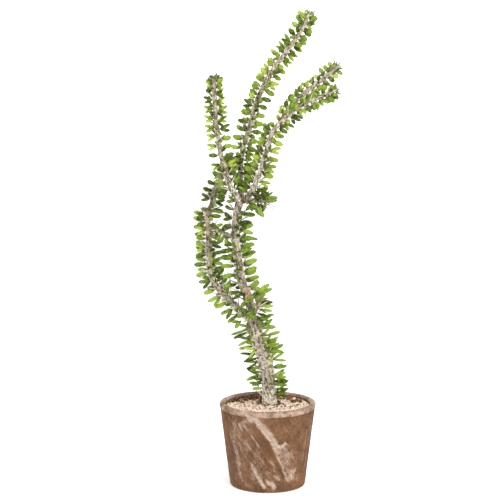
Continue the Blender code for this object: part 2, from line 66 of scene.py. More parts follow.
# Every stem: guide points (x, y, z) and the stem's radius at each of them,
# the stem or stems it grows out of, its number of leaf rows, the distance
# between the areoles of one row, leaf length at its foot and at its tip, leaf
# width, how many of its areoles bear a pair of leaves, and spine length.
STEMS = {
    "trunk": dict(
        points=[(3, 4, 66), (3, 4, 117), (1, 5, 148), (-2, 6, 175),
                (-10, 7, 200), (-17, 8, 223), (-23, 8, 239)],
        radii=[10.6, 11.4, 10.4, 10.4, 10.0, 9.4, 9.2],
        cut_by=[], rows=6, pitch=11.8, first=65.0, turn=14.0,
        leaf=(16.5, 19.5, 5.1), twins=0.8, spine=10.0, free_tip=False),
    "centre_stem": dict(
        points=[(-22, 8, 234), (-25, 8, 256), (-29, 8, 276), (-37, 8, 296),
                (-40, 8, 314), (-43, 8, 336), (-47, 8, 362), (-46, 8, 390),
                (-39, 7, 419)],
        radii=[6.2, 7.0, 7.8, 7.0, 6.4, 6.2, 6.2, 6.0, 7.0],
        cut_by=["trunk"], rows=5, pitch=12.4, first=8.0, turn=20.0,
        leaf=(17.5, 15.0, 6.7), twins=0.40, spine=13.0, free_tip=False),
    "trunk_spur": dict(
        points=[(-23, 5, 243), (-20, -6, 252), (-16, -13, 262),
                (-12, -17, 274)],
        radii=[2.6, 3.2, 3.0, 2.4],
        cut_by=["trunk", "centre_stem"], rows=3, pitch=8.4, first=9.0,
        turn=-20.0, leaf=(17.0, 18.5, 5.6), twins=0.9, spine=15.0,
        free_tip=True),
    "short_right_shoot": dict(
        points=[(-36, 5, 413), (-25, -3, 415), (-14, -9, 416), (-4, -13, 415)],
        radii=[2.4, 3.0, 2.9, 2.3],
        cut_by=["centre_stem"],
        rows=3, pitch=8.4, first=9.0, turn=60.0, leaf=(12.0, 14.5, 5.6),
        twins=0.9, spine=13.0, free_tip=True),
    "left_stem": dict(
        points=[(-25, 8, 238), (-40, 10, 254), (-49, 12, 263),
                (-58, 15, 272), (-71, 20, 284), (-80, 24, 299),
                (-84, 26, 314), (-86, 27, 340), (-86, 28, 369), (-88, 28, 398)],
        radii=[4.2, 6.4, 5.4, 4.7, 4.6, 4.5, 4.4, 4.3, 4.4, 4.2],
        cut_by=["trunk", "centre_stem"], rows=5, pitch=12.4, first=12.0,
        turn=34.0, leaf=(15.0, 15.0, 6.1), twins=0.40, spine=12.5,
        free_tip=True),
    "left_stem_top": dict(
        points=[(-87, 28, 387), (-81, 29, 403), (-77, 31, 423),
                (-69, 33, 441), (-57, 34, 458), (-50, 34, 472)],
        radii=[3.0, 4.1, 4.1, 3.9, 3.4, 2.8],
        cut_by=["left_stem"], rows=4, pitch=10.6, first=8.0, turn=10.0,
        leaf=(12.5, 12.0, 6.4), twins=0.5, spine=12.0, free_tip=True),
    "left_tall_branch": dict(
        points=[(-38, 7, 413), (-44, 1, 421), (-51, -6, 431), (-59, -15, 453),
                (-65, -20, 476), (-70, -20, 504), (-73, -20, 532),
                (-75, -20, 560), (-76, -20, 591)],
        radii=[4.0, 5.0, 4.6, 4.2, 3.8, 3.7, 3.8, 3.9, 3.1],
        cut_by=["centre_stem", "short_right_shoot"], rows=4, pitch=13.2,
        first=15.0, turn=0.0, leaf=(13.2, 12.0, 6.8), twins=0.9, spine=13.0,
        free_tip=True),
    "top_branch": dict(
        points=[(-38, 7, 412), (-39, 14, 436), (-39, 22, 462),
                (-35, 26, 488), (-27, 31, 514), (-20, 34, 542),
                (-9, 34, 572), (7, 34, 600), (28, 34, 628), (47, 34, 655),
                (59, 34, 680)],
        radii=[4.0, 4.9, 4.6, 4.3, 4.1, 4.0, 3.9, 3.7, 3.6, 3.4, 2.5],
        cut_by=["centre_stem", "short_right_shoot", "left_tall_branch"],
        rows=5, pitch=12.6, first=15.0, turn=24.0, leaf=(13.6, 13.0, 7.0),
        twins=0.3, spine=12.5, free_tip=True),
    "right_branch": dict(
        points=[(-38, 7, 412), (-30, 0, 420), (-22, -12, 432),
                (-13, -25, 455), (-4, -33, 484), (6, -38, 516),
                (30, -40, 542), (52, -40, 557), (74, -40, 566),
                (93, -40, 575)],
        radii=[3.8, 4.8, 4.5, 4.3, 4.0, 3.9, 3.9, 3.7, 3.4, 2.6],
        cut_by=["centre_stem", "short_right_shoot", "left_tall_branch",
                "top_branch"], rows=5,
        pitch=12.0, first=14.0, turn=30.0, leaf=(15.5, 11.6, 7.1), twins=0.6,
        spine=13.5, free_tip=True),
    "upper_right_branch": dict(
        points=[(14, -39, 526), (23, -33, 541), (35, -26, 555),
                (52, -12, 570), (73, -2, 585), (97, 5, 606)],
        radii=[1.9, 3.5, 4.0, 4.2, 4.2, 3.3],
        cut_by=["right_branch"], rows=4, pitch=10.6, first=12.0, turn=45.0,
        leaf=(11.2, 10.2, 6.8), twins=0.45, spine=12.5, free_tip=True),
    "small_left_shoot": dict(
        points=[(-47, 8, 361), (-57, 2, 366), (-67, -5, 371), (-76, -11, 375)],
        radii=[2.0, 2.6, 2.5, 2.0],
        cut_by=["centre_stem"], rows=2, pitch=8.4, first=8.0, turn=70.0,
        leaf=(11.0, 11.5, 5.2), twins=0.9, spine=11.0, free_tip=True),
}


# ---- small maths ------------------------------------------------------------
def noise(a, b, c=0.0):
    """A repeatable number in -1..1 for a place on the plant."""
    x = math.sin(a * 12.9898 + b * 78.233 + c * 37.719 + 4.1) * 43758.5453
    return 2.0 * (x - math.floor(x)) - 1.0


class Path:
    """A smooth centreline through guide points, with a frame that doesn't spin."""

    def __init__(self, points, radii, step=1.0):
        pts = [Vector(p) for p in points]
        ends = [pts[0] * 2 - pts[1]] + pts + [pts[-1] * 2 - pts[-2]]
        rad = [radii[0]] + list(radii) + [radii[-1]]
        self.p, self.r = [], []
        for i in range(1, len(ends) - 2):
            a, b, c, d = ends[i - 1:i + 3]
            knots = [0.0]
            for u, v in ((a, b), (b, c), (c, d)):
                knots.append(knots[-1] + math.sqrt((v - u).length))
            t0, t1, t2, t3 = knots
            n = max(2, round((c - b).length / step))
            for k in range(n + (i == len(ends) - 3)):
                f = k / n
                t = t1 + (t2 - t1) * f
                a1 = a * ((t1 - t) / (t1 - t0)) + b * ((t - t0) / (t1 - t0))
                a2 = b * ((t2 - t) / (t2 - t1)) + c * ((t - t1) / (t2 - t1))
                a3 = c * ((t3 - t) / (t3 - t2)) + d * ((t - t2) / (t3 - t2))
                b1 = a1 * ((t2 - t) / (t2 - t0)) + a2 * ((t - t0) / (t2 - t0))
                b2 = a2 * ((t3 - t) / (t3 - t1)) + a3 * ((t - t1) / (t3 - t1))
                self.p.append(b1 * ((t2 - t) / (t2 - t1))
                              + b2 * ((t - t1) / (t2 - t1)))
                e = f * f * (3 - 2 * f)
                self.r.append(rad[i] * (1 - e) + rad[i + 1] * e)
        self.s = [0.0]
        for u, v in zip(self.p, self.p[1:]):
            self.s.append(self.s[-1] + (v - u).length)
        self.length = self.s[-1]
        self.t = []
        for i in range(len(self.p)):
            lo, hi = max(0, i - 1), min(len(self.p) - 1, i + 1)
            self.t.append((self.p[hi] - self.p[lo]).normalized())
        side = Vector((1, 0, 0))
        self.n = []
        for t in self.t:
            side = (side - t * side.dot(t)).normalized()
            self.n.append(side.copy())

    def at(self, s):
        """Centre, direction, first and second side vectors, radius."""
        s = min(max(s, 0.0), self.length)
        i = min(bisect.bisect_right(self.s, s) - 1, len(self.s) - 2)
        f = (s - self.s[i]) / (self.s[i + 1] - self.s[i])
        t = self.t[i].lerp(self.t[i + 1], f).normalized()
        n = self.n[i].lerp(self.n[i + 1], f)
        n = (n - t * n.dot(t)).normalized()
        return (self.p[i].lerp(self.p[i + 1], f), t, n, t.cross(n),
                self.r[i] * (1 - f) + self.r[i + 1] * f)


PATHS = {name: Path(d["points"], d["radii"]) for name, d in STEMS.items()}
ORDER = {name: i for i, name in enumerate(STEMS)}


def skin_gap(point, own):
    """Distance from a point to the skin of the nearest stem but its own."""
    best = 1e9
    for name, path in PATHS.items():
        if name == own:
            continue
        for q, r in zip(path.p[::2], path.r[::2]):
            best = min(best, (q - point).length - r)
    return best


def segment_gap(p1, q1, p2, q2):
    """Shortest distance between two straight segments."""
    d1, d2, r = q1 - p1, q2 - p2, p1 - p2
    a, e, f = d1.dot(d1), d2.dot(d2), d2.dot(r)
    c, b = d1.dot(r), d1.dot(d2)
    den = a * e - b * b
    s = min(max((b * f - c * e) / den, 0.0), 1.0) if den > 1e-9 else 0.0
    t = (b * s + f) / e
    if t < 0.0:
        t, s = 0.0, min(max(-c / a, 0.0), 1.0)
    elif t > 1.0:
        t, s = 1.0, min(max((b - c) / a, 0.0), 1.0)
    return ((p1 + d1 * s) - (p2 + d2 * t)).length


# ---- where the leaves and spines are ----------------------------------------
def row_angle(stem, row, s):
    d = STEMS[stem]
    return math.radians(d["turn"] + 360.0 * row / d["rows"] + 0.30 * s)


def lay_out_rows():
    """Areoles of every leaf row: stem -> row -> list of dicts, tip last.

    A leaf or spine that would touch another stem, or a leaf or spine of
    another stem, has been shed.  A row stops where another stem is too near.
    """
    placed = []          # (stem, start, end, half width)
    rows = {}
    for stem, d in STEMS.items():
        path, k = PATHS[stem], ORDER[stem]
        rows[stem] = []
        for row in range(d["rows"]):
            # laid out from the tip backwards: areoles crowd at a growing tip
            tip = 26.0 if d["free_tip"] else 0.0
            phase = (row * 0.4) % 1.0
            stations, s = [], path.length - PAD - SPINE_PAD - 0.6
            s -= phase * d["pitch"] * (0.55 if d["free_tip"] else 1.0)
            while s >= d["first"]:
                stations.append(s + 0.5 * noise(k, row, round(s)))
                young = max(0.0, 1.0 - (path.length - s) / tip) if tip else 0.0
                s -= d["pitch"] * (1.0 - 0.42 * young)
            stations.reverse()
            run, best = [], []
            reach = 0.0          # of the last areole's leaves, towards the tip
            for i, s in enumerate(stations):
                c, t, n, b, r = path.at(s)
                a = row_angle(stem, row, s)
                out = n * math.cos(a) + b * math.sin(a)
                near = min(
                    skin_gap(path.at(u)[0] + out * (path.at(u)[4] + 1.6), stem)
                    for u in (s - PAD, s, s + PAD + SPINE_PAD,
                              min(s + 0.5 * d["pitch"], path.length)))
                if near < 2.0:
                    best = run if len(run) > len(best) else best
                    run = []
                    continue
                end = max(0.0, 1.0 - (path.length - s) / 26.0)
                if not d["free_tip"]:
                    end = 0.0
                side = t.cross(out)
                along = (s - d["first"]) / (path.length - d["first"])
                long = d["leaf"][0] + (d["leaf"][1] - d["leaf"][0]) * along
                long *= 1 + 0.10 * noise(k, row, s + 4)
                long *= 1 - 0.12 * end
                lwid = d["leaf"][2] * (1 + 0.10 * noise(k, row, s + 5))
                half = math.radians(17.5 + 1.5 * noise(k, row, s + 11))
                # a pair needs room before and behind it in its own row
                apart = 0.5 * PAD + 0.75 * long * math.sin(half) \
                    + (0.42 if d["pitch"] < 10 else 0.37) * lwid
                before = s - stations[i - 1] if i else 99.0
                behind = stations[i + 1] - s if i + 1 < len(stations) else 99.0
                twins = 0.5 + 0.5 * noise(k, row, s + 9) < d["twins"] \
                    and apart + reach < before and apart + 0.5 * lwid < behind
                reach = apart if twins else 0.5 * lwid
                hand = 1 if noise(k, row, s + 10) > 0 else -1
                lean = math.radians((3 if twins else 6)
                                    + (4 if twins else 9) * noise(k, row, s + 1)
                                    + 7 * end)
                swing = math.radians(-hand * (5 + 4 * noise(k, row, s + 2)))
                roll = math.radians((8 if twins else 24) * noise(k, row, s + 3))
                rise = math.radians((47 if twins else 40)
                                    + 5 * noise(k, row, s + 6) + 22 * end)
                sway = math.radians(hand * (19 + 6 * noise(k, row, s + 7)))
                sdir = (out * math.cos(rise) + t * math.sin(rise)
                        + side * math.sin(sway)).normalized()
                slen = d["spine"] * (1 + 0.22 * noise(k, row, s + 8))
                root = c + out * (r + CORD_GAP + CORD_T)
                sroot = root + t * (PAD + 0.5 * SPINE_PAD)
                stip = sroot + sdir * slen
                leaves = []
                for sign in ((-1, 1) if twins else (0,)):
                    tilt = lean + sign * half
                    ldir = (out * math.cos(tilt) + t * math.sin(tilt)
                            + side * math.sin(swing)).normalized()
                    wide = (t - ldir * t.dot(ldir)).normalized()
                    wide = wide * math.cos(roll) + ldir.cross(wide) * math.sin(roll)
                    llen = long * (0.93 if sign < 0 else 1.0)
                    w = lwid
                    if sign:
                        w = min(0.88 * lwid,
                                PAD + 1.12 * llen * math.sin(half) - 0.4)
                    lroot = root + t * (0.5 * PAD * sign)
                    ltip = lroot + ldir * llen
                    if any(skin_gap(lroot.lerp(ltip, f), stem) < 3.9
                           for f in (0.35, 0.7, 1.0)):
                        continue
                    if any(other != stem
                           and segment_gap(lroot, ltip, p, q) < gap + 2.9
                           for other, p, q, gap in placed):
                        continue
                    leaves.append(dict(side=sign, dir=ldir, wide=wide, len=llen,
                                       wid=w, root=lroot))
                spine_ok = all(skin_gap(sroot.lerp(stip, f), stem) >= 2.6
                               for f in (0.35, 0.7, 1.0))
                for other, p, q, gap in placed:
                    if other != stem and spine_ok \
                            and segment_gap(sroot, stip, p, q) < gap + 0.9:
                        spine_ok = False
                for leaf in leaves:
                    placed.append((stem, leaf["root"],
                                   leaf["root"] + leaf["dir"] * leaf["len"],
                                   0.5 * leaf["wid"]))
                if spine_ok:
                    placed.append((stem, sroot, stip, 0.8))
                run.append(dict(s=s, angle=a, leaves=leaves, spine=spine_ok,
                                sdir=sdir, slen=slen, sroot=sroot))
            best = run if len(run) > len(best) else best
            rows[stem].append(best)
    return rows



MM = 0.001
ROWS = lay_out_rows()


# ---- node materials -----------------------------------------------------------
class Look:
    """A small helper for building a Principled material out of nodes."""

    def __init__(self, name, roughness=0.8, **sockets):
        self.mat = bpy.data.materials.new(name)
        self.mat.use_nodes = True
        self.tree = self.mat.node_tree
        self.shader = self.tree.nodes["Principled BSDF"]
        self.shader.inputs["Roughness"].default_value = roughness
        for key, value in sockets.items():
            self.shader.inputs[key.replace("_", " ")].default_value = value
        self.coord = self.tree.nodes.new("ShaderNodeTexCoord").outputs["Object"]

    def put(self, socket, value):
        if isinstance(value, bpy.types.NodeSocket):
            self.tree.links.new(value, socket)
        else:
            socket.default_value = value

    def noise(self, scale, detail=4.0, rough=0.55, stretch=None, distort=0.0,
              kind="FBM"):
        where = self.coord
        if stretch:
            m = self.tree.nodes.new("ShaderNodeMapping")
            m.inputs["Scale"].default_value = stretch
            self.put(m.inputs["Vector"], where)
            where = m.outputs["Vector"]
        n = self.tree.nodes.new("ShaderNodeTexNoise")
        n.noise_type = kind
        self.put(n.inputs["Vector"], where)
        n.inputs["Scale"].default_value = scale
        n.inputs["Detail"].default_value = detail
        n.inputs["Roughness"].default_value = rough
        n.inputs["Distortion"].default_value = distort
        return n.outputs["Fac"]

    def slanted(self, scale, stretch, degrees, detail=4.0, rough=0.6):
        """Noise drawn out along a line that leans to the right going down."""
        turn = self.tree.nodes.new("ShaderNodeMapping")
        turn.inputs["Rotation"].default_value = (0, math.radians(degrees), 0)
        self.put(turn.inputs["Vector"], self.coord)
        m = self.tree.nodes.new("ShaderNodeMapping")
        m.inputs["Scale"].default_value = stretch
        self.put(m.inputs["Vector"], turn.outputs["Vector"])
        n = self.tree.nodes.new("ShaderNodeTexNoise")
        self.put(n.inputs["Vector"], m.outputs["Vector"])
        n.inputs["Scale"].default_value = scale
        n.inputs["Detail"].default_value = detail
        n.inputs["Roughness"].default_value = rough
        return n.outputs["Fac"]

    def cells(self, scale, feature="F1", rand=1.0):
        n = self.tree.nodes.new("ShaderNodeTexVoronoi")
        n.feature = feature
        self.put(n.inputs["Vector"], self.coord)
        n.inputs["Scale"].default_value = scale
        n.inputs["Randomness"].default_value = rand
        return n.outputs["Distance"]

    def math(self, op, a, b=0.0, clamp=False):
        n = self.tree.nodes.new("ShaderNodeMath")
        n.operation, n.use_clamp = op, clamp
        self.put(n.inputs[0], a)
        self.put(n.inputs[1], b)
        return n.outputs[0]

    def spread(self, value, lo, hi, to_lo=0.0, to_hi=1.0, smooth=True):
        n = self.tree.nodes.new("ShaderNodeMapRange")
        n.interpolation_type = "SMOOTHSTEP" if smooth else "LINEAR"
        self.put(n.inputs["Value"], value)
        for key, v in (("From Min", lo), ("From Max", hi),
                       ("To Min", to_lo), ("To Max", to_hi)):
            n.inputs[key].default_value = v
        return n.outputs["Result"]

    def ramp(self, value, *stops):
        n = self.tree.nodes.new("ShaderNodeValToRGB")
        while len(n.color_ramp.elements) < len(stops):
            n.color_ramp.elements.new(0.5)
        for e, (at, rgb) in zip(n.color_ramp.elements, stops):
            e.position = at
            e.color = (*rgb, 1.0)
        self.put(n.inputs["Fac"], value)
        return n.outputs["Color"]

    def mix(self, fac, a, b, how="MIX"):
        n = self.tree.nodes.new("ShaderNodeMix")
        n.data_type, n.blend_type = "RGBA", how
        self.put(n.inputs["Factor"], fac)
        self.put(n.inputs["A"], (*a, 1.0) if isinstance(a, tuple) else a)
        self.put(n.inputs["B"], (*b, 1.0) if isinstance(b, tuple) else b)
        return n.outputs["Result"]

    def painted(self, name="tone"):
        """The three channels of a mesh's own colour attribute."""
        n = self.tree.nodes.new("ShaderNodeAttribute")
        n.attribute_name = name
        s = self.tree.nodes.new("ShaderNodeSeparateColor")
        self.put(s.inputs["Color"], n.outputs["Color"])
        return s.outputs["Red"], s.outputs["Green"], s.outputs["Blue"]

    def bump(self, *layers):
        """(height, strength, distance in metres), finest last."""
        normal = None
        for height, strength, distance in layers:
            n = self.tree.nodes.new("ShaderNodeBump")
            n.inputs["Strength"].default_value = strength
            n.inputs["Distance"].default_value = distance
            self.put(n.inputs["Height"], height)
            if normal is not None:
                self.put(n.inputs["Normal"], normal)
            normal = n.outputs["Normal"]
        self.put(self.shader.inputs["Normal"], normal)

    def color(self, value):
        self.put(self.shader.inputs["Base Color"], value)

    def rough(self, value):
        self.put(self.shader.inputs["Roughness"], value)


def clay_look():
    k = Look("aged_clay", 0.9, Specular_IOR_Level=0.2)
    bloom, dark, lip = k.painted()
    cloud = k.noise(42, 6, 0.65, distort=0.3)
    grain = k.noise(900, 3, 0.65)
    mottle = k.noise(190, 5, 0.7)
    drag = k.slanted(230, (1.0, 1.0, 0.20), 33, 4, 0.65)
    base = k.ramp(k.math("ADD", k.math("MULTIPLY", cloud, 0.55),
                         k.math("MULTIPLY", mottle, 0.45)),
                  (0.35, (0.083, 0.035, 0.014)), (0.46, (0.150, 0.070, 0.031)),
                  (0.54, (0.210, 0.105, 0.052)), (0.66, (0.285, 0.158, 0.090)))
    base = k.mix(k.spread(drag, 0.42, 0.68, 0.0, 0.34), base,
                 (0.300, 0.186, 0.120))
    base = k.mix(k.spread(grain, 0.36, 0.66, 0.42, 0.0), base,
                 (0.092, 0.043, 0.020))
    # darker streaks on the clay, with painted shade under the lip, along the foot and inside the wall
    base = k.mix(k.math("MULTIPLY", dark, k.spread(mottle, 0.3, 0.62, 0.95, 0.6)),
                 base, (0.082, 0.040, 0.019))
    rust = k.spread(k.noise(30, 4, 0.6), 0.52, 0.70)
    base = k.mix(k.math("MULTIPLY", rust, 0.30), base, (0.30, 0.128, 0.050))
    # mineral bloom: a thin dry veil, broken up by strokes and by grain
    veil = k.math("ADD", k.math("MULTIPLY", k.math("SUBTRACT", drag, 0.5), 1.3),
                  k.math("MULTIPLY", k.math("SUBTRACT", grain, 0.5), 1.25))
    veil = k.math("ADD", veil, k.math("MULTIPLY",
                  k.math("SUBTRACT", mottle, 0.5), 0.70))
    edge = k.math("ADD", bloom, k.math("MULTIPLY", veil, 0.80))
    cover = k.spread(edge, 0.22, 0.98)
    chalk = k.ramp(k.noise(330, 4, 0.65), (0.30, (0.40, 0.290, 0.215)),
                   (0.70, (0.68, 0.56, 0.46)))
    base = k.mix(k.math("MULTIPLY", cover, 0.92), base, chalk)
    rim = k.math("MULTIPLY", lip, k.spread(k.math("ADD", cloud,
                 k.math("MULTIPLY", mottle, 0.6)), 0.62, 0.98, 0.15, 1.0))
    base = k.mix(k.math("MULTIPLY", rim, 0.88), base, (0.60, 0.445, 0.355))
    k.color(base)
    k.rough(k.spread(grain, 0.3, 0.7, 0.84, 0.98))
    k.bump((drag, 0.25, 0.0006), (mottle, 0.35, 0.0006), (grain, 0.65, 0.0003))
    return k.mat


def bark_look():
    k = Look("bark", 0.75, Specular_IOR_Level=0.35)
    cushion, groove_shade, region = k.painted()
    pale, warm, painted_shade = k.painted("place")
    cloud = k.noise(150, 5, 0.65)
    fine = k.noise(800, 4, 0.7)
    fibre = k.noise(430, 4, 0.65, stretch=(1.0, 1.0, 0.32))
    base = k.ramp(k.math("ADD", k.math("MULTIPLY", cloud, 0.5),
                         k.math("MULTIPLY", fibre, 0.5)),
                  (0.37, (0.044, 0.030, 0.013)), (0.44, (0.185, 0.138, 0.080)),
                  (0.51, (0.450, 0.372, 0.262)), (0.61, (0.86, 0.78, 0.63)))
    base = k.mix(k.spread(region, 0.42, 0.75, 0.0, 0.34), base,
                 (0.62, 0.51, 0.46))
    base = k.mix(k.math("MULTIPLY", k.spread(cushion, 0.25, 0.70, 0.0, 0.60),
                        k.spread(fine, 0.35, 0.6, 0.4, 1.0)), base,
                 (0.76, 0.66, 0.45))
    scar = k.math("MULTIPLY", k.spread(cushion, 0.66, 0.92),
                  k.spread(fine, 0.36, 0.56, 0.40, 0.98))
    base = k.mix(scar, base, (0.095, 0.080, 0.018))
    base = k.mix(k.math("MULTIPLY", pale, k.spread(fibre, 0.38, 0.58, 0.15, 0.90)),
                 base, (0.95, 0.87, 0.76))
    base = k.mix(k.math("MULTIPLY", warm, k.spread(fine, 0.3, 0.6, 0.85, 0.50)),
                 base, (0.66, 0.335, 0.165))
    # painted shade on stretches of stem that lie in shadow
    base = k.mix(k.math("MULTIPLY", painted_shade, k.spread(fine, 0.35, 0.65, 0.95, 0.35)),
                 base, (0.052, 0.040, 0.032))
    # painted shade in the grooves and hollows of the bark
    base = k.mix(k.spread(groove_shade, 0.15, 0.70, 0.0, 0.92), base,
                 (0.036, 0.026, 0.017))
    k.color(base)
    k.rough(k.spread(fine, 0.3, 0.7, 0.55, 0.90))
    k.bump((fibre, 0.7, 0.0009), (fine, 0.6, 0.0004))
    return k.mat


def leaf_look():
    k = Look("fleshy_leaf", 0.50, Subsurface_Weight=0.04, Subsurface_Scale=0.0012,
             Specular_IOR_Level=0.30)
    k.shader.inputs["Subsurface Radius"].default_value = (0.6, 1.0, 0.2)
    edge, along, own = k.painted()
    blotch = k.noise(300, 4, 0.65)
    fine = k.noise(1500, 3, 0.6)
    # own carries the leaf's own tone with painted light and shade: upturned leaves lighter, undersides and leaves of
    # shaded stems darker
    body = k.ramp(own, (0.0, (0.012, 0.034, 0.002)), (0.22, (0.048, 0.105, 0.004)),
                  (0.45, (0.142, 0.248, 0.016)), (0.70, (0.268, 0.408, 0.030)),
                  (1.0, (0.430, 0.560, 0.055)))
    body = k.mix(k.spread(blotch, 0.40, 0.66, 0.0, 0.45), body,
                 (0.37, 0.49, 0.040))
    body = k.mix(k.spread(blotch, 0.46, 0.30, 0.0, 0.65), body,
                 (0.020, 0.052, 0.003))
    # painted shade: each leaf darker towards its foot, where it meets the stem
    body = k.mix(k.spread(along, 0.38, 0.0, 0.0, 0.88), body,
                 (0.013, 0.026, 0.003))
    rim = k.math("MULTIPLY", k.spread(edge, 0.45, 1.0),
                 k.spread(along, 0.15, 0.80, 0.35, 1.0))
    body = k.mix(k.math("MULTIPLY", rim, 0.72), body, (0.030, 0.052, 0.004))
    tip = k.math("MULTIPLY", k.spread(along, 0.84, 1.0),
                 k.spread(own, 0.2, 0.8, 0.85, 0.30))
    body = k.mix(tip, body, (0.085, 0.055, 0.020))
    k.color(body)
    k.rough(k.spread(fine, 0.3, 0.7, 0.40, 0.62))
    k.bump((blotch, 0.35, 0.0005), (fine, 0.25, 0.00012))
    return k.mat


def spine_look():
    k = Look("spine", 0.55, Specular_IOR_Level=0.4)
    along, _, own = k.painted()
    fine = k.noise(1300, 3, 0.6)
    pale = k.ramp(own, (0.0, (0.92, 0.85, 0.70)), (0.50, (0.80, 0.69, 0.56)),
                  (0.64, (0.30, 0.225, 0.18)), (1.0, (0.110, 0.078, 0.062)))
    base = k.mix(k.spread(along, 0.45, 0.95), pale, (0.100, 0.078, 0.066))
    base = k.mix(k.spread(fine, 0.4, 0.7, 0.0, 0.25), base, (0.28, 0.24, 0.19))
    k.color(base)
    k.rough(k.spread(fine, 0.3, 0.7, 0.45, 0.7))
    k.bump((fine, 0.3, 0.0001))
    return k.mat


def gravel_look():
    k = Look("gravel", 0.85, Specular_IOR_Level=0.3)
    own, shade, _ = k.painted()
    speck = k.noise(1400, 4, 0.65)
    cloud = k.noise(420, 3, 0.6)
    base = k.ramp(own, (0.0, (0.86, 0.67, 0.50)), (0.30, (0.96, 0.81, 0.65)),
                  (0.66, (0.99, 0.89, 0.77)), (0.80, (0.80, 0.60, 0.43)),
                  (0.90, (0.40, 0.225, 0.120)), (1.0, (0.16, 0.080, 0.040)))
    base = k.mix(k.spread(speck, 0.52, 0.72, 0.0, 0.40), base,
                 (0.50, 0.36, 0.24))
    base = k.mix(k.spread(cloud, 0.45, 0.65, 0.0, 0.25), base,
                 (0.95, 0.89, 0.79))
    # painted shade: grains of the lower layer, and the bed between the grains, darker
    base = k.mix(k.math("MULTIPLY", shade, 0.70), base, (0.19, 0.115, 0.065))
    k.color(base)
    k.rough(k.spread(speck, 0.3, 0.7, 0.75, 0.95))
    k.bump((cloud, 0.4, 0.0003), (speck, 0.5, 0.00015))
    return k.mat


def soil_look():
    k = Look("soil", 0.95, Specular_IOR_Level=0.2)
    crumb = k.cells(420)
    cloud = k.noise(260, 5, 0.65)
    base = k.ramp(cloud, (0.32, (0.020, 0.012, 0.008)), (0.52, (0.052, 0.032, 0.02)),
                  (0.72, (0.120, 0.075, 0.045)))
    k.color(base)
    k.rough(k.spread(cloud, 0.3, 0.7, 0.85, 1.0))
    k.bump((crumb, 0.8, 0.0012), (cloud, 0.5, 0.0006))
    return k.mat


def chip_look():
    k = Look("bark_chips", 0.9, Specular_IOR_Level=0.2)
    own, _, _ = k.painted()
    grain = k.noise(700, 5, 0.7, stretch=(1.0, 0.4, 1.0))
    base = k.ramp(own, (0.0, (0.085, 0.033, 0.013)), (0.5, (0.215, 0.092, 0.040)),
                  (1.0, (0.40, 0.210, 0.110)))
    base = k.mix(k.spread(grain, 0.4, 0.7, 0.0, 0.5), base, (0.03, 0.016, 0.010))
    k.color(base)
    k.rough(k.spread(grain, 0.3, 0.7, 0.8, 1.0))
    k.bump((grain, 0.7, 0.0005))
    return k.mat


# ---- meshes -------------------------------------------------------------------
def mesh_object(name, verts, faces, tone, mat, smooth=True, place=None):
    """verts in millimetres; tone is one (r, g, b) for every vertex."""
    mesh = bpy.data.meshes.new(name)
    mesh.from_pydata((np.asarray(verts, float) * MM).tolist(), [], faces)
    for key, value in (("tone", tone), ("place", place)):
        if value is None:
            continue
        attr = mesh.color_attributes.new(key, "FLOAT_COLOR", "POINT")
        rgba = np.ones((len(verts), 4), np.float32)
        rgba[:, :3] = np.asarray(value, np.float32)
        attr.data.foreach_set("color", rgba.ravel())
    mesh.polygons.foreach_set("use_smooth", [smooth] * len(faces))
    mesh.materials.append(mat)
    mesh.validate()
    mesh.update()
    ob = bpy.data.objects.new(name, mesh)
    bpy.context.scene.collection.objects.link(ob)
    return ob


class Batch:
    """Collects many small shapes into one mesh."""

    def __init__(self):
        self.v, self.f, self.t = [], [], []
        self.n = 0

    def add(self, verts, faces, tone):
        self.v.append(np.asarray(verts, float))
        self.t.append(np.asarray(tone, float))
        self.f.extend([tuple(i + self.n for i in f) for f in faces])
        self.n += len(verts)

    def done(self, name, mat, smooth=True):
        return mesh_object(name, np.concatenate(self.v), self.f,
                           np.concatenate(self.t), mat, smooth)


def grid_faces(rows, cols, first=0):
    """Quads of a tube of rows x cols points, closed round."""
    out = []
    for i in range(rows - 1):
        a, b = first + i * cols, first + (i + 1) * cols
        for j in range(cols):
            k = (j + 1) % cols
            out.append((a + j, a + k, b + k, b + j))
    return out


def arr(v):
    return np.array((v.x, v.y, v.z))


# ---- bark ---------------------------------------------------------------------
PALE, WARM, PAINTED_SHADE = 0, 1, 2
# stretches of a stem between two heights with a colour of their own, pale or warm, or with painted shade where the stem
# lies in shadow
PATCHES = {
    "trunk": [(114, 142, PALE, 1.0), (142, 200, PALE, 0.32), (226, 262, PAINTED_SHADE, 0.40)],
    "centre_stem": [(266, 286, WARM, 0.90), (254, 265, PAINTED_SHADE, 0.9),
                    (288, 316, PAINTED_SHADE, 0.25), (376, 404, PALE, 0.5)],
    "left_stem": [(232, 262, PALE, 0.75), (262, 275, PAINTED_SHADE, 0.40),
                  (356, 398, WARM, 0.42), (398, 412, PAINTED_SHADE, 0.35)],
    "left_stem_top": [(380, 470, PAINTED_SHADE, 0.72)],
    "left_tall_branch": [(396, 446, PALE, 0.75), (578, 600, PAINTED_SHADE, 0.30),
                         (486, 520, PALE, 0.35)],
    "right_branch": [(396, 426, WARM, 0.35), (426, 486, PALE, 0.70),
                     (496, 520, PALE, 0.5), (566, 580, PAINTED_SHADE, 0.30)],
    "upper_right_branch": [(592, 612, PAINTED_SHADE, 0.45), (520, 560, PAINTED_SHADE, 0.30)],
    "top_branch": [(400, 452, PAINTED_SHADE, 0.35), (520, 545, PALE, 0.45),
                   (670, 690, PAINTED_SHADE, 0.30)],
    "short_right_shoot": [(380, 420, PAINTED_SHADE, 0.6)],
    "small_left_shoot": [(300, 380, PAINTED_SHADE, 0.7)],
    "trunk_spur": [(200, 300, PAINTED_SHADE, 0.6)],
}


def perlin_rows(points, scale, seed):
    return np.array([perlin.noise(Vector(p) * scale + Vector((seed, 0, 5)))
                     for p in points])


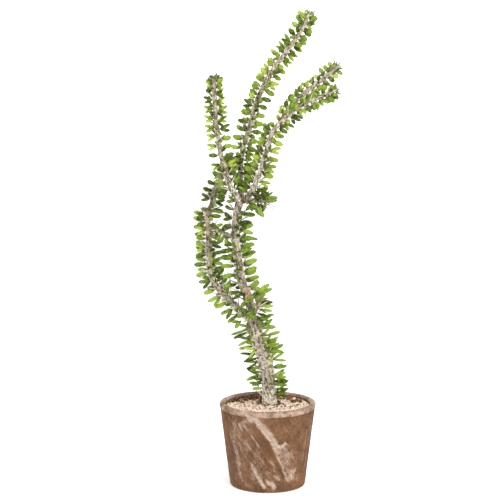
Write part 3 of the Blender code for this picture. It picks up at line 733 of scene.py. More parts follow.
def bark_mesh(stem, mat):
    """The stem with its grooves, ridges and swollen leaf cushions."""
    path, d = PATHS[stem], STEMS[stem]
    thick = max(path.r)
    sides = 56 if stem == "trunk" else 40 if thick > 6 else 32
    length = path.length
    tip = d["free_tip"]
    r_end = path.at(length)[4]
    n = int(length / 0.85)
    S = np.linspace(0, length, n + 1)
    shrink = np.ones(n + 1)
    extra = np.zeros(n + 1)
    if tip:
        turn = np.linspace(0, math.pi / 2, 9)[1:-1]
        S = np.append(S, np.full(len(turn), length))
        shrink = np.append(shrink, np.cos(turn))
        extra = np.append(extra, np.sin(turn) * r_end * 0.9)
    C, N, B, T, R = [], [], [], [], []
    for s in S:
        c, t, u, v, r = path.at(s)
        C.append(arr(c)); T.append(arr(t)); N.append(arr(u)); B.append(arr(v))
        R.append(r)
    C, N, B, T, R = map(np.array, (C, N, B, T, R))
    C = C + T * extra[:, None]
    TH = np.arange(sides) * 2 * math.pi / sides
    high = np.zeros((len(S), sides))
    cush = np.zeros((len(S), sides))
    big = 2.5 if stem == "trunk" else 1.7 if thick > 5 else 1.25
    seed = ORDER[stem]
    for row in range(d["rows"]):
        line = np.radians(d["turn"] + 360.0 * row / d["rows"] + 0.30 * S)
        dth = (TH[None, :] - line[:, None] + math.pi) % (2 * math.pi) - math.pi
        arcl = dth * R[:, None]
        wide = 1.3 if stem != "trunk" else 2.2
        ridge = 0.30 * np.exp(-(arcl / (wide * 1.25)) ** 2)
        high = np.maximum(high, ridge)
        for a in (ROWS[stem][row] or []):
            ds = S - a["s"]
            k = noise(seed, row, a["s"] + 20)
            up, down = 1.9 + 0.3 * k, (6.4 if stem == "trunk" else 5.2) + k
            f = np.where(ds > 0, np.exp(-(ds / up) ** 2),
                         np.exp(-np.abs(ds / down) ** 1.6))
            spread = wide * (1.0 + 0.20 * noise(seed, row, a["s"] + 21))
            slant = arcl + (0.12 * ds * noise(seed, row, a["s"] + 22))[:, None]
            g = f[:, None] * np.exp(-(slant / spread) ** 2)
            high = np.maximum(high, big * (1 + 0.2 * k) * g)
            cush = np.maximum(cush, g)
    P = C[:, None, :] + (N[:, None, :] * np.cos(TH)[None, :, None]
                         + B[:, None, :] * np.sin(TH)[None, :, None]) \
        * R[:, None, None]
    lump = np.zeros_like(high)
    fine = np.zeros_like(high)
    knob = 1.7 if stem == "trunk" else 0.55 if thick > 5 else 0.40
    for i in range(len(S)):
        for j in range(sides):
            q = P[i, j]
            lump[i, j] = perlin.noise(Vector(q) * 0.16) * knob \
                + perlin.noise(Vector(q) * 0.37) * knob * 0.5
            fine[i, j] = perlin.noise(Vector((TH[j] * R[i] * 1.1, S[i] * 0.28,
                                              seed * 7.3)))
    groove = np.clip(-fine - 0.12, 0, 1) * (1 - np.clip(cush * 1.6, 0, 1))
    deep = 1.5 if stem == "trunk" else 0.9
    rad = R[:, None] * (0.90 if stem == "trunk" else 0.86) - 0.15 \
        + high + lump + 0.35 * fine - deep * groove
    if stem == "trunk":            # the foot flares just above the gravel
        up = np.clip((C[:, 2] - GRAVEL_MID) / 12.0, 0, 1)
        rad = rad + (0.9 * (1 - up))[:, None]
    rad = np.maximum(rad, 0.55 * R[:, None])
    rad = rad * shrink[:, None]
    V = C[:, None, :] + (N[:, None, :] * np.cos(TH)[None, :, None]
                         + B[:, None, :] * np.sin(TH)[None, :, None]) \
        * rad[:, :, None]
    # painted shade: grooves and hollows between the knobs, less on the cushions
    groove_shade_mask = np.clip(groove * 2.6 + np.clip(-lump / knob - 0.16, 0, 1) * 1.5, 0, 1)
    groove_shade_mask *= 1 - np.clip(cush * 1.3, 0, 1)
    region = np.zeros_like(high)
    for i in range(len(S)):
        region[i, :] = 0.5 + 0.5 * perlin.noise(Vector(C[i]) * 0.05)
    tone = np.stack([cush, groove_shade_mask, region], -1).reshape(-1, 3)
    verts = V.reshape(-1, 3)
    place = np.stack([np.clip(perlin_rows(C, 0.13, seed) * 1.6 - 0.15, 0, 0.6),
                      np.zeros(len(S)), np.zeros(len(S))], -1)
    for z0, z1, what, much in PATCHES.get(stem, ()):
        mid, half = (z0 + z1) / 2, abs(z1 - z0) / 2
        f = np.clip(1.4 - 1.4 * (np.abs(C[:, 2] - mid) / half) ** 3, 0, 1) * much
        place[:, what] = np.maximum(place[:, what], f)
    place = np.repeat(place, sides, 0)
    faces = grid_faces(len(S), sides)
    low, top = len(verts), len(verts) + 1
    last = (len(S) - 1) * sides
    crown = C[-1] + T[-1] * (r_end * 0.04 if tip else 0.3)
    if tip:
        crown = C[-1] + T[-1] * r_end * 0.02
    verts = np.vstack([verts, C[0], crown])
    tone = np.vstack([tone, tone[0], tone[last]])
    place = np.vstack([place, place[0], place[last]])
    for j in range(sides):
        k = (j + 1) % sides
        faces.append((low, k, j))
        faces.append((top, last + j, last + k))
    return mesh_object(stem + "_bark", verts, faces, tone, mat, place=place)


# ---- leaves and spines ----------------------------------------------------------
LEAF_U = (0.0, 0.05, 0.13, 0.25, 0.39, 0.53, 0.66, 0.78, 0.88, 0.95, 0.985)
OVAL_W = (0.22, 0.38, 0.62, 0.87, 0.99, 1.0, 0.95, 0.82, 0.60, 0.37, 0.18)
SPOON_W = (0.20, 0.23, 0.36, 0.58, 0.80, 0.95, 1.0, 0.96, 0.80, 0.54, 0.28)
LEAF_T = (0.62, 0.66, 0.78, 0.92, 1.0, 1.0, 0.95, 0.85, 0.68, 0.46, 0.26)
LEAF_SIDES = 10


def add_leaf(batch, base, d, w, length, width, bend, own, spoon):
    """One fleshy obovate leaf: sections lofted along a gently bent midline."""
    d, w = arr(d), arr(w)
    h = np.cross(d, w)
    base = arr(base) - d * 0.7
    cols = LEAF_SIDES
    phi = np.arange(cols) * 2 * math.pi / cols
    cx, cy = np.cos(phi), np.sin(phi)
    verts, tone = [], []
    half, thick = width / 2, 0.62 + 0.02 * width
    spoon = min(1.0, max(0.0, spoon))
    for u, oval, late, ft in zip(LEAF_U, OVAL_W, SPOON_W, LEAF_T):
        fw = oval + (late - oval) * spoon
        mid = base + d * (length + 0.7) * u + h * bend * u * u
        fall = h * bend * 0.25 * u
        ww, tt = half * fw, thick * ft
        y = np.sign(cy) * np.abs(cy) ** 0.85 * tt
        y = np.where(cy > 0, y - 0.22 * tt * (1 - np.abs(cx)) * (1 if u > 0.1 else 0), y)
        ring = mid + fall + np.outer(cx * ww, w) + np.outer(y, h)
        verts.append(ring)
        underside_shade = np.clip(-cy * h[2] * 1.4, 0, 1)     # painted shade: the face turned towards the ground is darker
        tone.append(np.stack([np.abs(cx) ** 2, np.full(cols, u),
                              np.clip(own - 0.30 * underside_shade, 0, 1)], -1))
    end = base + d * (length + 0.7) * 1.0 + h * bend * 1.25
    verts = np.vstack(verts + [verts[0].mean(0)[None], end[None]])
    tone = np.vstack(tone + [np.array([[0, 0, own]]), np.array([[1, 1, own]])])
    rows = len(LEAF_U)
    faces = grid_faces(rows, cols)
    low, top, last = rows * cols, rows * cols + 1, (rows - 1) * cols
    for j in range(cols):
        k = (j + 1) % cols
        faces.append((low, k, j))
        faces.append((top, last + j, last + k))
    batch.add(verts, faces, tone)


def add_spine(batch, base, d, length, thick, bow, own):
    d = arr(d)
    side = np.cross(d, (0.3, 0.2, 0.93))
    side /= np.linalg.norm(side)
    other = np.cross(d, side)
    cols, steps = 7, (0.0, 0.12, 0.3, 0.52, 0.74, 0.92)
    base = arr(base) - d * 1.3
    phi = np.arange(cols) * 2 * math.pi / cols
    verts, tone = [], []
    for u in steps:
        mid = base + d * (length + 1.3) * u + side * bow * u * u
        r = thick * (1 - u) ** 0.55 * (1.3 - 0.3 * min(1, u * 6))
        verts.append(mid + np.outer(np.cos(phi) * r, side)
                     + np.outer(np.sin(phi) * r, other))
        tone.append(np.tile((u, 0, own), (cols, 1)))
    end = base + d * (length + 1.3) + side * bow
    verts = np.vstack(verts + [base[None], end[None]])
    tone = np.vstack(tone + [np.array([[0, 0, own]]), np.array([[1, 0, own]])])
    faces = grid_faces(len(steps), cols)
    low, top, last = len(steps) * cols, len(steps) * cols + 1, (len(steps) - 1) * cols
    for j in range(cols):
        k = (j + 1) % cols
        faces.append((low, k, j))
        faces.append((top, last + j, last + k))
    batch.add(verts, faces, tone)


def turned_by(v, axis, angle):
    """v rotated about a unit axis."""
    return (v * math.cos(angle) + axis.cross(v) * math.sin(angle)
            + axis * axis.dot(v) * (1 - math.cos(angle)))


# shape: 0 an ellipse, 1 widest near the end; shade: painted shade, how dark the stem's leaves are on the whole, lower
# is darker; grow: length against the plain solid leaf
MANNER = {
    "trunk": (0.50, 0.44, 1.06), "centre_stem": (0.55, 0.48, 1.06),
    "trunk_spur": (0.50, 0.55, 1.06), "short_right_shoot": (0.45, 0.42, 1.05),
    "left_stem": (0.45, 0.55, 1.05), "left_stem_top": (0.25, 0.28, 1.05),
    "left_tall_branch": (0.10, 0.50, 1.04), "top_branch": (0.15, 0.54, 1.05),
    "right_branch": (0.15, 0.50, 1.05), "upper_right_branch": (0.10, 0.64, 1.04),
    "small_left_shoot": (0.40, 0.30, 1.0),
}


# leaves of note, listed: foot, tip, width, shade (all millimetres)
SET_LEAVES = {
    "trunk_spur": [
        ((-16, -15, 284), (2, -19, 298), 7.0, 0.74),
        ((-16, -12, 282), (6, -14, 290), 6.5, 0.60),
        ((-17, -14, 281), (-34, -22, 271), 6.5, 0.46),
        ((-14, -6, 264), (4, -10, 267), 6.5, 0.62),
        ((-8, -5, 247), (9, -8, 252), 4.5, 0.50),
        ((-30, -14, 255), (-17, -22, 249), 7.5, 0.36),
        ((-31, -12, 246), (-18, -20, 256), 6.5, 0.48),
        ((-8, -10, 243), (-14, -18, 234), 5.5, 0.32),
        ((-7, -4, 234), (5, -6, 243), 6.5, 0.50),
        ((-5, -6, 236), (12, -8, 233), 5.0, 0.66),
    ],
    "trunk": [
        ((-39, 0, 239), (-53, -4, 241), 5.0, 0.50),
        ((-39, -2, 241), (-47, -10, 232), 6.0, 0.50),
        ((-31, -2, 228), (-53, -4, 221), 4.5, 0.42),
        ((-2, -3, 202), (13, -6, 207), 5.0, 0.62),
        ((-1, -4, 196), (22, -8, 198), 6.0, 0.60),
        ((0, -4, 212), (13, -8, 214), 7.5, 0.50),
        ((5, -4, 161), (28, -8, 160), 5.0, 0.72),
        ((8, -4, 153), (31, -6, 154), 5.0, 0.12),
        ((9, -6, 148), (29, -8, 148), 4.5, 0.50),
        ((11, -6, 142), (31, -10, 143), 4.0, 0.18),
        ((9, -6, 133), (26, -10, 137), 5.0, 0.40),
        ((-14, -6, 162), (-31, -12, 156), 5.5, 0.68),
        ((-14, -6, 148), (-23, -10, 152), 3.5, 0.40),
    ],
    "right_branch": [
        ((-35, -16, 465), (-21, -22, 460), 8.5, 0.86),
        ((-26, -14, 468), (-9, -20, 475), 6.5, 0.50),
        ((-40, -6, 456), (-23, -10, 452), 6.5, 0.02),
        ((-44, -8, 436), (-28, -14, 446), 9.5, 0.30),
        ((-37, -10, 433), (-26, -18, 445), 7.5, 0.40),
        ((-31, -2, 442), (-20, -4, 450), 6.5, 0.10),
        ((30, -44, 567), (38, -50, 557), 7.0, 0.50),
        ((33, -44, 556), (42, -50, 549), 8.0, 0.68),
        ((23, -44, 553), (33, -50, 545), 7.5, 0.42),
        ((47, -42, 567), (51, -48, 556), 7.5, 0.62),
        ((56, -42, 560), (59, -50, 571), 7.0, 0.78),
        ((59, -44, 564), (66, -50, 572), 7.0, 0.90),
        ((70, -44, 574), (74, -48, 582), 7.0, 0.90),
        ((74, -44, 574), (81, -50, 581), 7.5, 0.95),
        ((87, -44, 574), (88, -48, 583), 6.5, 0.80),
        ((66, -42, 560), (69, -44, 547), 7.0, 0.52),
        ((-14, -14, 432), (0, -18, 435), 7.0, 0.55),
    ],
    "top_branch": [
        ((-54, 6, 459), (-53, 0, 476), 10.0, 0.22),
        ((-51, 4, 442), (-44, -2, 454), 7.0, 0.52),
        ((-41, 10, 467), (-36, 6, 476), 7.0, 0.06),
        ((-48, 10, 477), (-37, 4, 479), 5.0, 0.30),
    ],
    "left_stem_top": [
        ((-72, 24, 424), (-59, 18, 433), 7.5, 0.70),
        ((-72, 22, 424), (-59, 18, 423), 5.5, 0.62),
        ((-76, 24, 419), (-62, 20, 415), 5.5, 0.24),
    ],
    "left_stem": [
        ((-83, 20, 391), (-67, 16, 391), 7.0, 0.42),
        ((-85, 22, 399), (-62, 16, 396), 5.0, 0.45),
    ],
    "small_left_shoot": [
        ((-66, -4, 372), (-55, -10, 383), 9.5, 0.05),
        ((-81, -6, 372), (-65, -12, 375), 6.0, 0.32),
    ],
    "centre_stem": [
        ((-40, 4, 383), (-30, -2, 379), 7.5, 0.03),
        ((-31, -2, 402), (-23, -8, 410), 7.0, 0.45),
        ((-26, -4, 412), (-14, -10, 406), 7.0, 0.52),
        ((-23, -2, 412), (-17, -4, 420), 7.0, 0.30),
        ((-38, 2, 363), (-14, -2, 360), 5.0, 0.50),
        ((-43, -4, 342), (-23, -10, 348), 6.5, 0.46),
    ],
    "short_right_shoot": [
        ((-16, -8, 409), (-6, -12, 393), 6.5, 0.64),
        ((-18, -6, 401), (-6, -8, 394), 5.5, 0.50),
        ((-8, -10, 400), (-4, -12, 410), 5.0, 0.25),
        ((-7, -12, 419), (14, -16, 422), 7.0, 0.64),
        ((-6, -12, 416), (13, -18, 418), 6.5, 0.48),
        ((-6, -12, 420), (7, -14, 429), 3.5, 0.15),
        ((-10, -10, 419), (0, -14, 428), 6.5, 0.30),
        ((-23, -2, 432), (-14, -4, 422), 7.5, 0.03),
        ((-23, -2, 425), (-7, -8, 417), 7.0, 0.22),
    ],
}
# long bare spines, listed: stem, foot, tip
SET_SPINES = [
    ("short_right_shoot", (-1, -14, 412), (11, -16, 402)),
    ("short_right_shoot", (0, -14, 414), (13, -20, 406)),
    ("short_right_shoot", (-3, -12, 413), (-6, -14, 402)),
    ("centre_stem", (-18, -10, 288), (-23, -12, 298)),
    ("centre_stem", (-17, -10, 288), (-20, -12, 298)),
    ("centre_stem", (-54, 8, 299), (-59, 4, 316)),
    ("trunk_spur", (-16, -14, 275), (3, -20, 278)),
    ("left_stem", (-51, 0, 264), (-61, -4, 278)),
    ("upper_right_branch", (96, 6, 606), (102, 4, 620)),
    ("upper_right_branch", (96, 6, 606), (98, 8, 620)),
    ("upper_right_branch", (97, 4, 606), (106, 2, 616)),
    ("upper_right_branch", (97, 4, 606), (111, 2, 608)),
    ("right_branch", (93, -41, 575), (102, -42, 579)),
    ("right_branch", (91, -41, 575), (98, -38, 580)),
    ("left_tall_branch", (-82, -20, 588), (-83, -22, 598)),
    ("left_tall_branch", (-76, -20, 588), (-73, -20, 599)),
    ("left_tall_branch", (-69, -22, 588), (-65, -22, 595)),
    ("trunk", (-17, -2, 175), (-30, -6, 177)),
    ("trunk", (-15, -4, 168), (-26, -8, 169)),
    ("trunk", (-14, -4, 146), (-27, -8, 148)),
    ("right_branch", (-9, -14, 432), (-2, -28, 422)),
    ("right_branch", (-23, -12, 420), (-9, -26, 414)),
    ("centre_stem", (-40, -4, 397), (-23, -20, 390)),
    ("centre_stem", (-44, -4, 379), (-26, -18, 374)),
    ("right_branch", (-6, -26, 482), (8, -34, 472)),
    ("right_branch", (-9, -24, 480), (-31, -28, 480)),
    ("right_branch", (-16, -24, 464), (-24, -30, 468)),
    ("right_branch", (-6, -26, 465), (3, -34, 458)),
    ("left_stem_top", (-85, 24, 415), (-100, 20, 414)),
]


def set_by_hand(stem, leaves):
    for k, (foot, tip, wide, own) in enumerate(SET_LEAVES.get(stem, ())):
        foot, tip = Vector(foot), Vector(tip)
        d = (tip - foot).normalized()
        w = d.cross(Vector((0.12 * (k % 3 - 1), 1, 0.2)))
        w = (w - d * w.dot(d)).normalized()
        add_leaf(leaves, foot, d, w, (tip - foot).length, wide,
                 0.8 * noise(3, k), own, 0.35 + 0.3 * noise(4, k))


# sides of a stem whose leaves have grown longer: (stem, to the right?)
REACH = {("trunk", False): 1.14, ("centre_stem", True): 1.14,
         ("left_stem", False): 1.12, ("left_tall_branch", True): 1.05,
         ("right_branch", True): 1.05, ("trunk", True): 1.02}


def foliage(stem, leaf_mat, spine_mat):
    path = PATHS[stem]
    leaves, spines = Batch(), Batch()
    seed = ORDER[stem]
    shape, shade, grow = MANNER[stem]
    for row, areoles in enumerate(ROWS[stem]):
        for a in areoles:
            s = a["s"]
            q = [noise(seed, row, s + 30 + i) for i in range(12)]
            for leaf in a["leaves"]:
                d = leaf["dir"]
                if leaf["root"].z < 141 and d.x < 0.2:
                    continue            # fallen off, low on the old trunk
                # painted light: a leaf pointing upwards is lighter; the stem's shade adds painted shade
                up = d.z * 0.16
                own = shade + up + 0.42 * q[0] + 0.26 * q[1 + leaf["side"]]
                reach = REACH.get((stem, d.x > 0), 1.0) if abs(d.x) > 0.5 else 1.0
                add_leaf(leaves, leaf["root"], d, leaf["wide"],
                         leaf["len"] * grow * reach * (1 + 0.03 * q[6]),
                         leaf["wid"] * (1.04 if leaf["side"] else 1.08)
                         * (0.90 if stem == "trunk" else 1.0),
                         (0.9 * leaf["side"] + 0.5 * q[7]),
                         min(1.0, max(0.0, own)), shape + 0.15 * q[8])
            if a["leaves"] and q[4] > (0.35 if stem == "trunk" else -0.30) \
                    and a["sroot"].z > 145:
                # a small late leaf beside the others on the same cushion
                big = a["leaves"][-1]
                c, t, n, b, r = path.at(s)
                out = n * math.cos(a["angle"]) + b * math.sin(a["angle"])
                hand = 1 if q[5] > 0 else -1
                side = t.cross(out)
                d = turned_by(big["dir"], t, hand * math.radians(27 + 7 * q[9]))
                w = turned_by(big["wide"], d, math.radians(25 * q[10]))
                w = (w - d * w.dot(d)).normalized()
                add_leaf(leaves, big["root"] + side * (0.9 * hand), d, w,
                         big["len"] * (0.74 + 0.08 * q[11]), big["wid"] * 0.92,
                         0.6 * q[7], min(1.0, max(0.0, shade - 0.12 + 0.4 * q[2])),
                         shape)
            if a["spine"]:
                end = max(0.0, 1.0 - (path.length - s) / 30.0)
                own = min(1.0, max(0.0, 0.40 + 0.6 * q[5] + 0.35 * end))
                add_spine(spines, a["sroot"], a["sdir"], a["slen"] * 1.18,
                          0.80, 1.3 * q[9], own)
                if end > 0.25 or q[3] > 0.35:
                    # a second, shorter spine out of the same cushion
                    c, t, n, b, r = path.at(s)
                    sd = turned_by(a["sdir"], t,
                                   math.radians(-24 if q[9] > 0 else 24))
                    add_spine(spines, a["sroot"], sd, a["slen"] * 0.80, 0.66,
                              0.8 * q[6], own)
    if STEMS[stem]["free_tip"]:
        c, t, n, b, r = path.at(path.length)
        small = 0.62 if path.length > 60 else 0.50
        for k in range(6):
            a = math.radians(60 * k + 25 * noise(seed, k, 71))
            out = n * math.cos(a) + b * math.sin(a)
            lean = math.radians(52 + 14 * noise(seed, k, 72))
            d = (out * math.sin(lean) + t * math.cos(lean)).normalized()
            w = (t - d * t.dot(d)).normalized()
            w = turned_by(w, d, math.radians(60 * noise(seed, k, 73)))
            size = STEMS[stem]["leaf"][1] * small * (1 + 0.18 * noise(seed, k, 74))
            add_leaf(leaves, c + out * r * 0.55 - t * (0.6 + 0.8 * (k % 2)), d, w,
                     size, size * 0.46, 0.4,
                     min(1.0, max(0.0, shade + 0.08 + 0.3 * noise(seed, k, 75))), 0.2)
            if k % 2 == 0 or path.length > 60:
                lean = math.radians(24 + 16 * noise(seed, k, 76))
                a += 0.5
                out = n * math.cos(a) + b * math.sin(a)
                d = (out * math.sin(lean) + t * math.cos(lean)).normalized()
                add_spine(spines, c + out * r * 0.5 - t * 0.5, d,
                          9.6 + 1.8 * noise(seed, k, 77), 0.66,
                          0.6 * noise(seed, k, 78), 0.70 + 0.25 * noise(seed, k, 79))
    set_by_hand(stem, leaves)
    for k, (bearer, foot, tip) in enumerate(SET_SPINES):
        if bearer == stem:
            foot, tip = Vector(foot), Vector(tip)
            d = (tip - foot).normalized()
            add_spine(spines, foot, d, (tip - foot).length, 0.66,
                      1.6 * noise(5, k),
                      0.15 if foot.y < -45 else 0.80 + 0.15 * noise(6, k))
    pieces = [leaves.done(stem + "_leaves", leaf_mat),
              spines.done(stem + "_spines", spine_mat)]
    return pieces


# ---- pot ------------------------------------------------------------------------
WORLD, FLOOR_GLOW = 0.18, 0.40
KEY, FILL, TOP = 50, 2, 36
R_TOP, R_FOOT = POT_TOP_D / 2, POT_FOOT_D / 2


def outer_r(z):
    return R_FOOT + (R_TOP - R_FOOT) / POT_H * z


def inner_r(z):
    return outer_r(z) - WALL


def round_corner(cx, cz, r, a0, a1, n):
    return [(cx + r * math.cos(math.radians(a0 + (a1 - a0) * i / n)),
             cz + r * math.sin(math.radians(a0 + (a1 - a0) * i / n)))
            for i in range(n + 1)]


def run(p, q, step):
    """Points from p towards q, both left out."""
    n = max(1, int(math.dist(p, q) / step))
    return [(p[0] + (q[0] - p[0]) * i / n, p[1] + (q[1] - p[1]) * i / n)
            for i in range(1, n)]


# pale mineral marks on the clay: (along, up) in millimetres, where along is
# measured round the wall from the front, then half width, strength
STROKES = [
    # (line, half width, strength, softness: 1 a crisp edge, 0 a haze)
    ([(-26, 113), (-17, 110), (-10, 103), (-4, 95), (2, 87), (7, 80), (13, 71)],
     5.0, 0.76, 0.4),
    ([(-16, 104), (-8, 94), (0, 83), (8, 72)], 1.5, 0.42, 0.4),
    ([(-22, 113), (-6, 113)], 2.4, 0.22, 0.1),
    ([(14, 71), (19, 70), (24, 75)], 2.4, 0.85, 0.5),
    ([(8, 68), (14, 57), (20, 44), (25, 31), (31, 20)], 2.0, 0.55, 0.6),
    ([(17, 66), (24, 50), (31, 34), (37, 21)], 6.8, 0.38, 0.2),
    ([(27, 66), (36, 52), (43, 36), (46, 24)], 8.0, 0.36, 0.2),
    ([(41, 30), (38, 21), (32, 18)], 4.4, 0.36, 0.3),
    ([(-25, 41), (-20, 31), (-12, 19), (-6, 9)], 2.6, 0.78, 0.5),
    ([(-23, 44), (-16, 30)], 6.5, 0.26, 0.1),
    ([(-13, 17), (-6, 8)], 3.4, 0.62, 0.4),
    ([(1, 16), (7, 14), (10, 9)], 4.2, 0.82, 0.4),
    ([(12, 24), (17, 21)], 2.8, 0.58, 0.3),
    ([(0, 33), (9, 27), (15, 26)], 2.6, 0.42, 0.2),
    ([(3, 51), (7, 44), (11, 34)], 1.9, 0.40, 0.3),
    ([(-41, 101), (-36, 91)], 2.0, 0.55, 0.4),
    ([(-33, 99), (-30, 93)], 1.6, 0.42, 0.3),
    ([(-22, 86), (-17, 77), (-13, 71)], 1.7, 0.52, 0.4),
    ([(-33, 76), (-27, 66)], 3.0, 0.36, 0.2),
    ([(-50, 110), (-40, 104), (-29, 106), (-22, 110)], 3.4, 0.28, 0.2),
    ([(-56, 108), (-50, 92), (-46, 72)], 4.6, 0.24, 0.1),
    ([(-67, 98), (-58, 74), (-51, 44), (-46, 16)], 3.0, 0.24, 0.2),
    ([(-54, 60), (-48, 40)], 3.0, 0.34, 0.2),
    ([(-48, 96), (-38, 70), (-30, 46), (-22, 22)], 9.0, 0.30, 0.0),
    ([(-34, 104), (-24, 84), (-16, 64), (-8, 50)], 5.0, 0.24, 0.0),
    ([(-58, 84), (-50, 56), (-44, 30)], 5.0, 0.30, 0.0),
    ([(-20, 56), (-10, 38), (-2, 22)], 4.0, 0.22, 0.0),
    ([(-52, 30), (-44, 18), (-30, 8)], 4.0, 0.34, 0.2),
    ([(-12, 62), (-5, 48), (2, 38)], 4.5, 0.17, 0.0),
    ([(64, 100), (64, 70), (60, 38)], 3.0, 0.36, 0.2),
    ([(74, 104), (74, 60), (70, 24)], 2.8, 0.34, 0.2),
    ([(22, 100), (27, 92)], 1.3, 0.40, 0.3),
    ([(52, 18), (56, 12)], 4.0, 0.36, 0.2),
    # the unseen back carries marks of the same kind
    ([(120, 108), (134, 80), (143, 52), (152, 24)], 4.4, 0.80, 0.5),
    ([(158, 84), (168, 60), (176, 34)], 7.0, 0.42, 0.3),
    ([(-150, 100), (-141, 78), (-130, 60)], 3.2, 0.62, 0.4),
    ([(-118, 50), (-108, 30), (-100, 12)], 4.0, 0.55, 0.3),
    ([(98, 40), (106, 24), (112, 12)], 3.0, 0.60, 0.3),
    ([(-176, 30), (-168, 14)], 3.0, 0.60, 0.3),
]
# darker marks on the clay: (line, half width, strength); the first seven are darker streaks, the last two are painted
# shade, a shadow line under the lip and a band along the foot
DARK_STREAKS_AND_SHADE = [
    ([(-4, 80), (4, 64), (12, 48), (20, 34), (26, 22)], 4.6, 0.95),
    ([(-24, 108), (-12, 94), (-2, 80)], 5.0, 0.50),
    ([(50, 66), (54, 44), (52, 24)], 5.5, 0.40),
    ([(-62, 60), (-54, 36), (-48, 18)], 5.0, 0.60),
    ([(-34, 66), (-20, 46), (-8, 26)], 8.0, 0.35),
    ([(2, 44), (14, 24), (22, 8)], 6.0, 0.60),
    ([(24, 104), (34, 96), (50, 98)], 7.0, 0.22),
    ([(-72, 112.6), (0, 112.6), (72, 112.6)], 1.1, 0.50),
    ([(-70, 2.0), (0, 2.0), (70, 2.0)], 2.4, 0.45),
]


def near_line(u, z, line):
    best = np.full(u.shape, 1e9)
    for (x0, z0), (x1, z1) in zip(line, line[1:]):
        dx, dz = x1 - x0, z1 - z0
        f = np.clip(((u - x0) * dx + (z - z0) * dz) / (dx * dx + dz * dz), 0, 1)
        best = np.minimum(best, np.hypot(u - x0 - dx * f, z - z0 - dz * f))
    return best


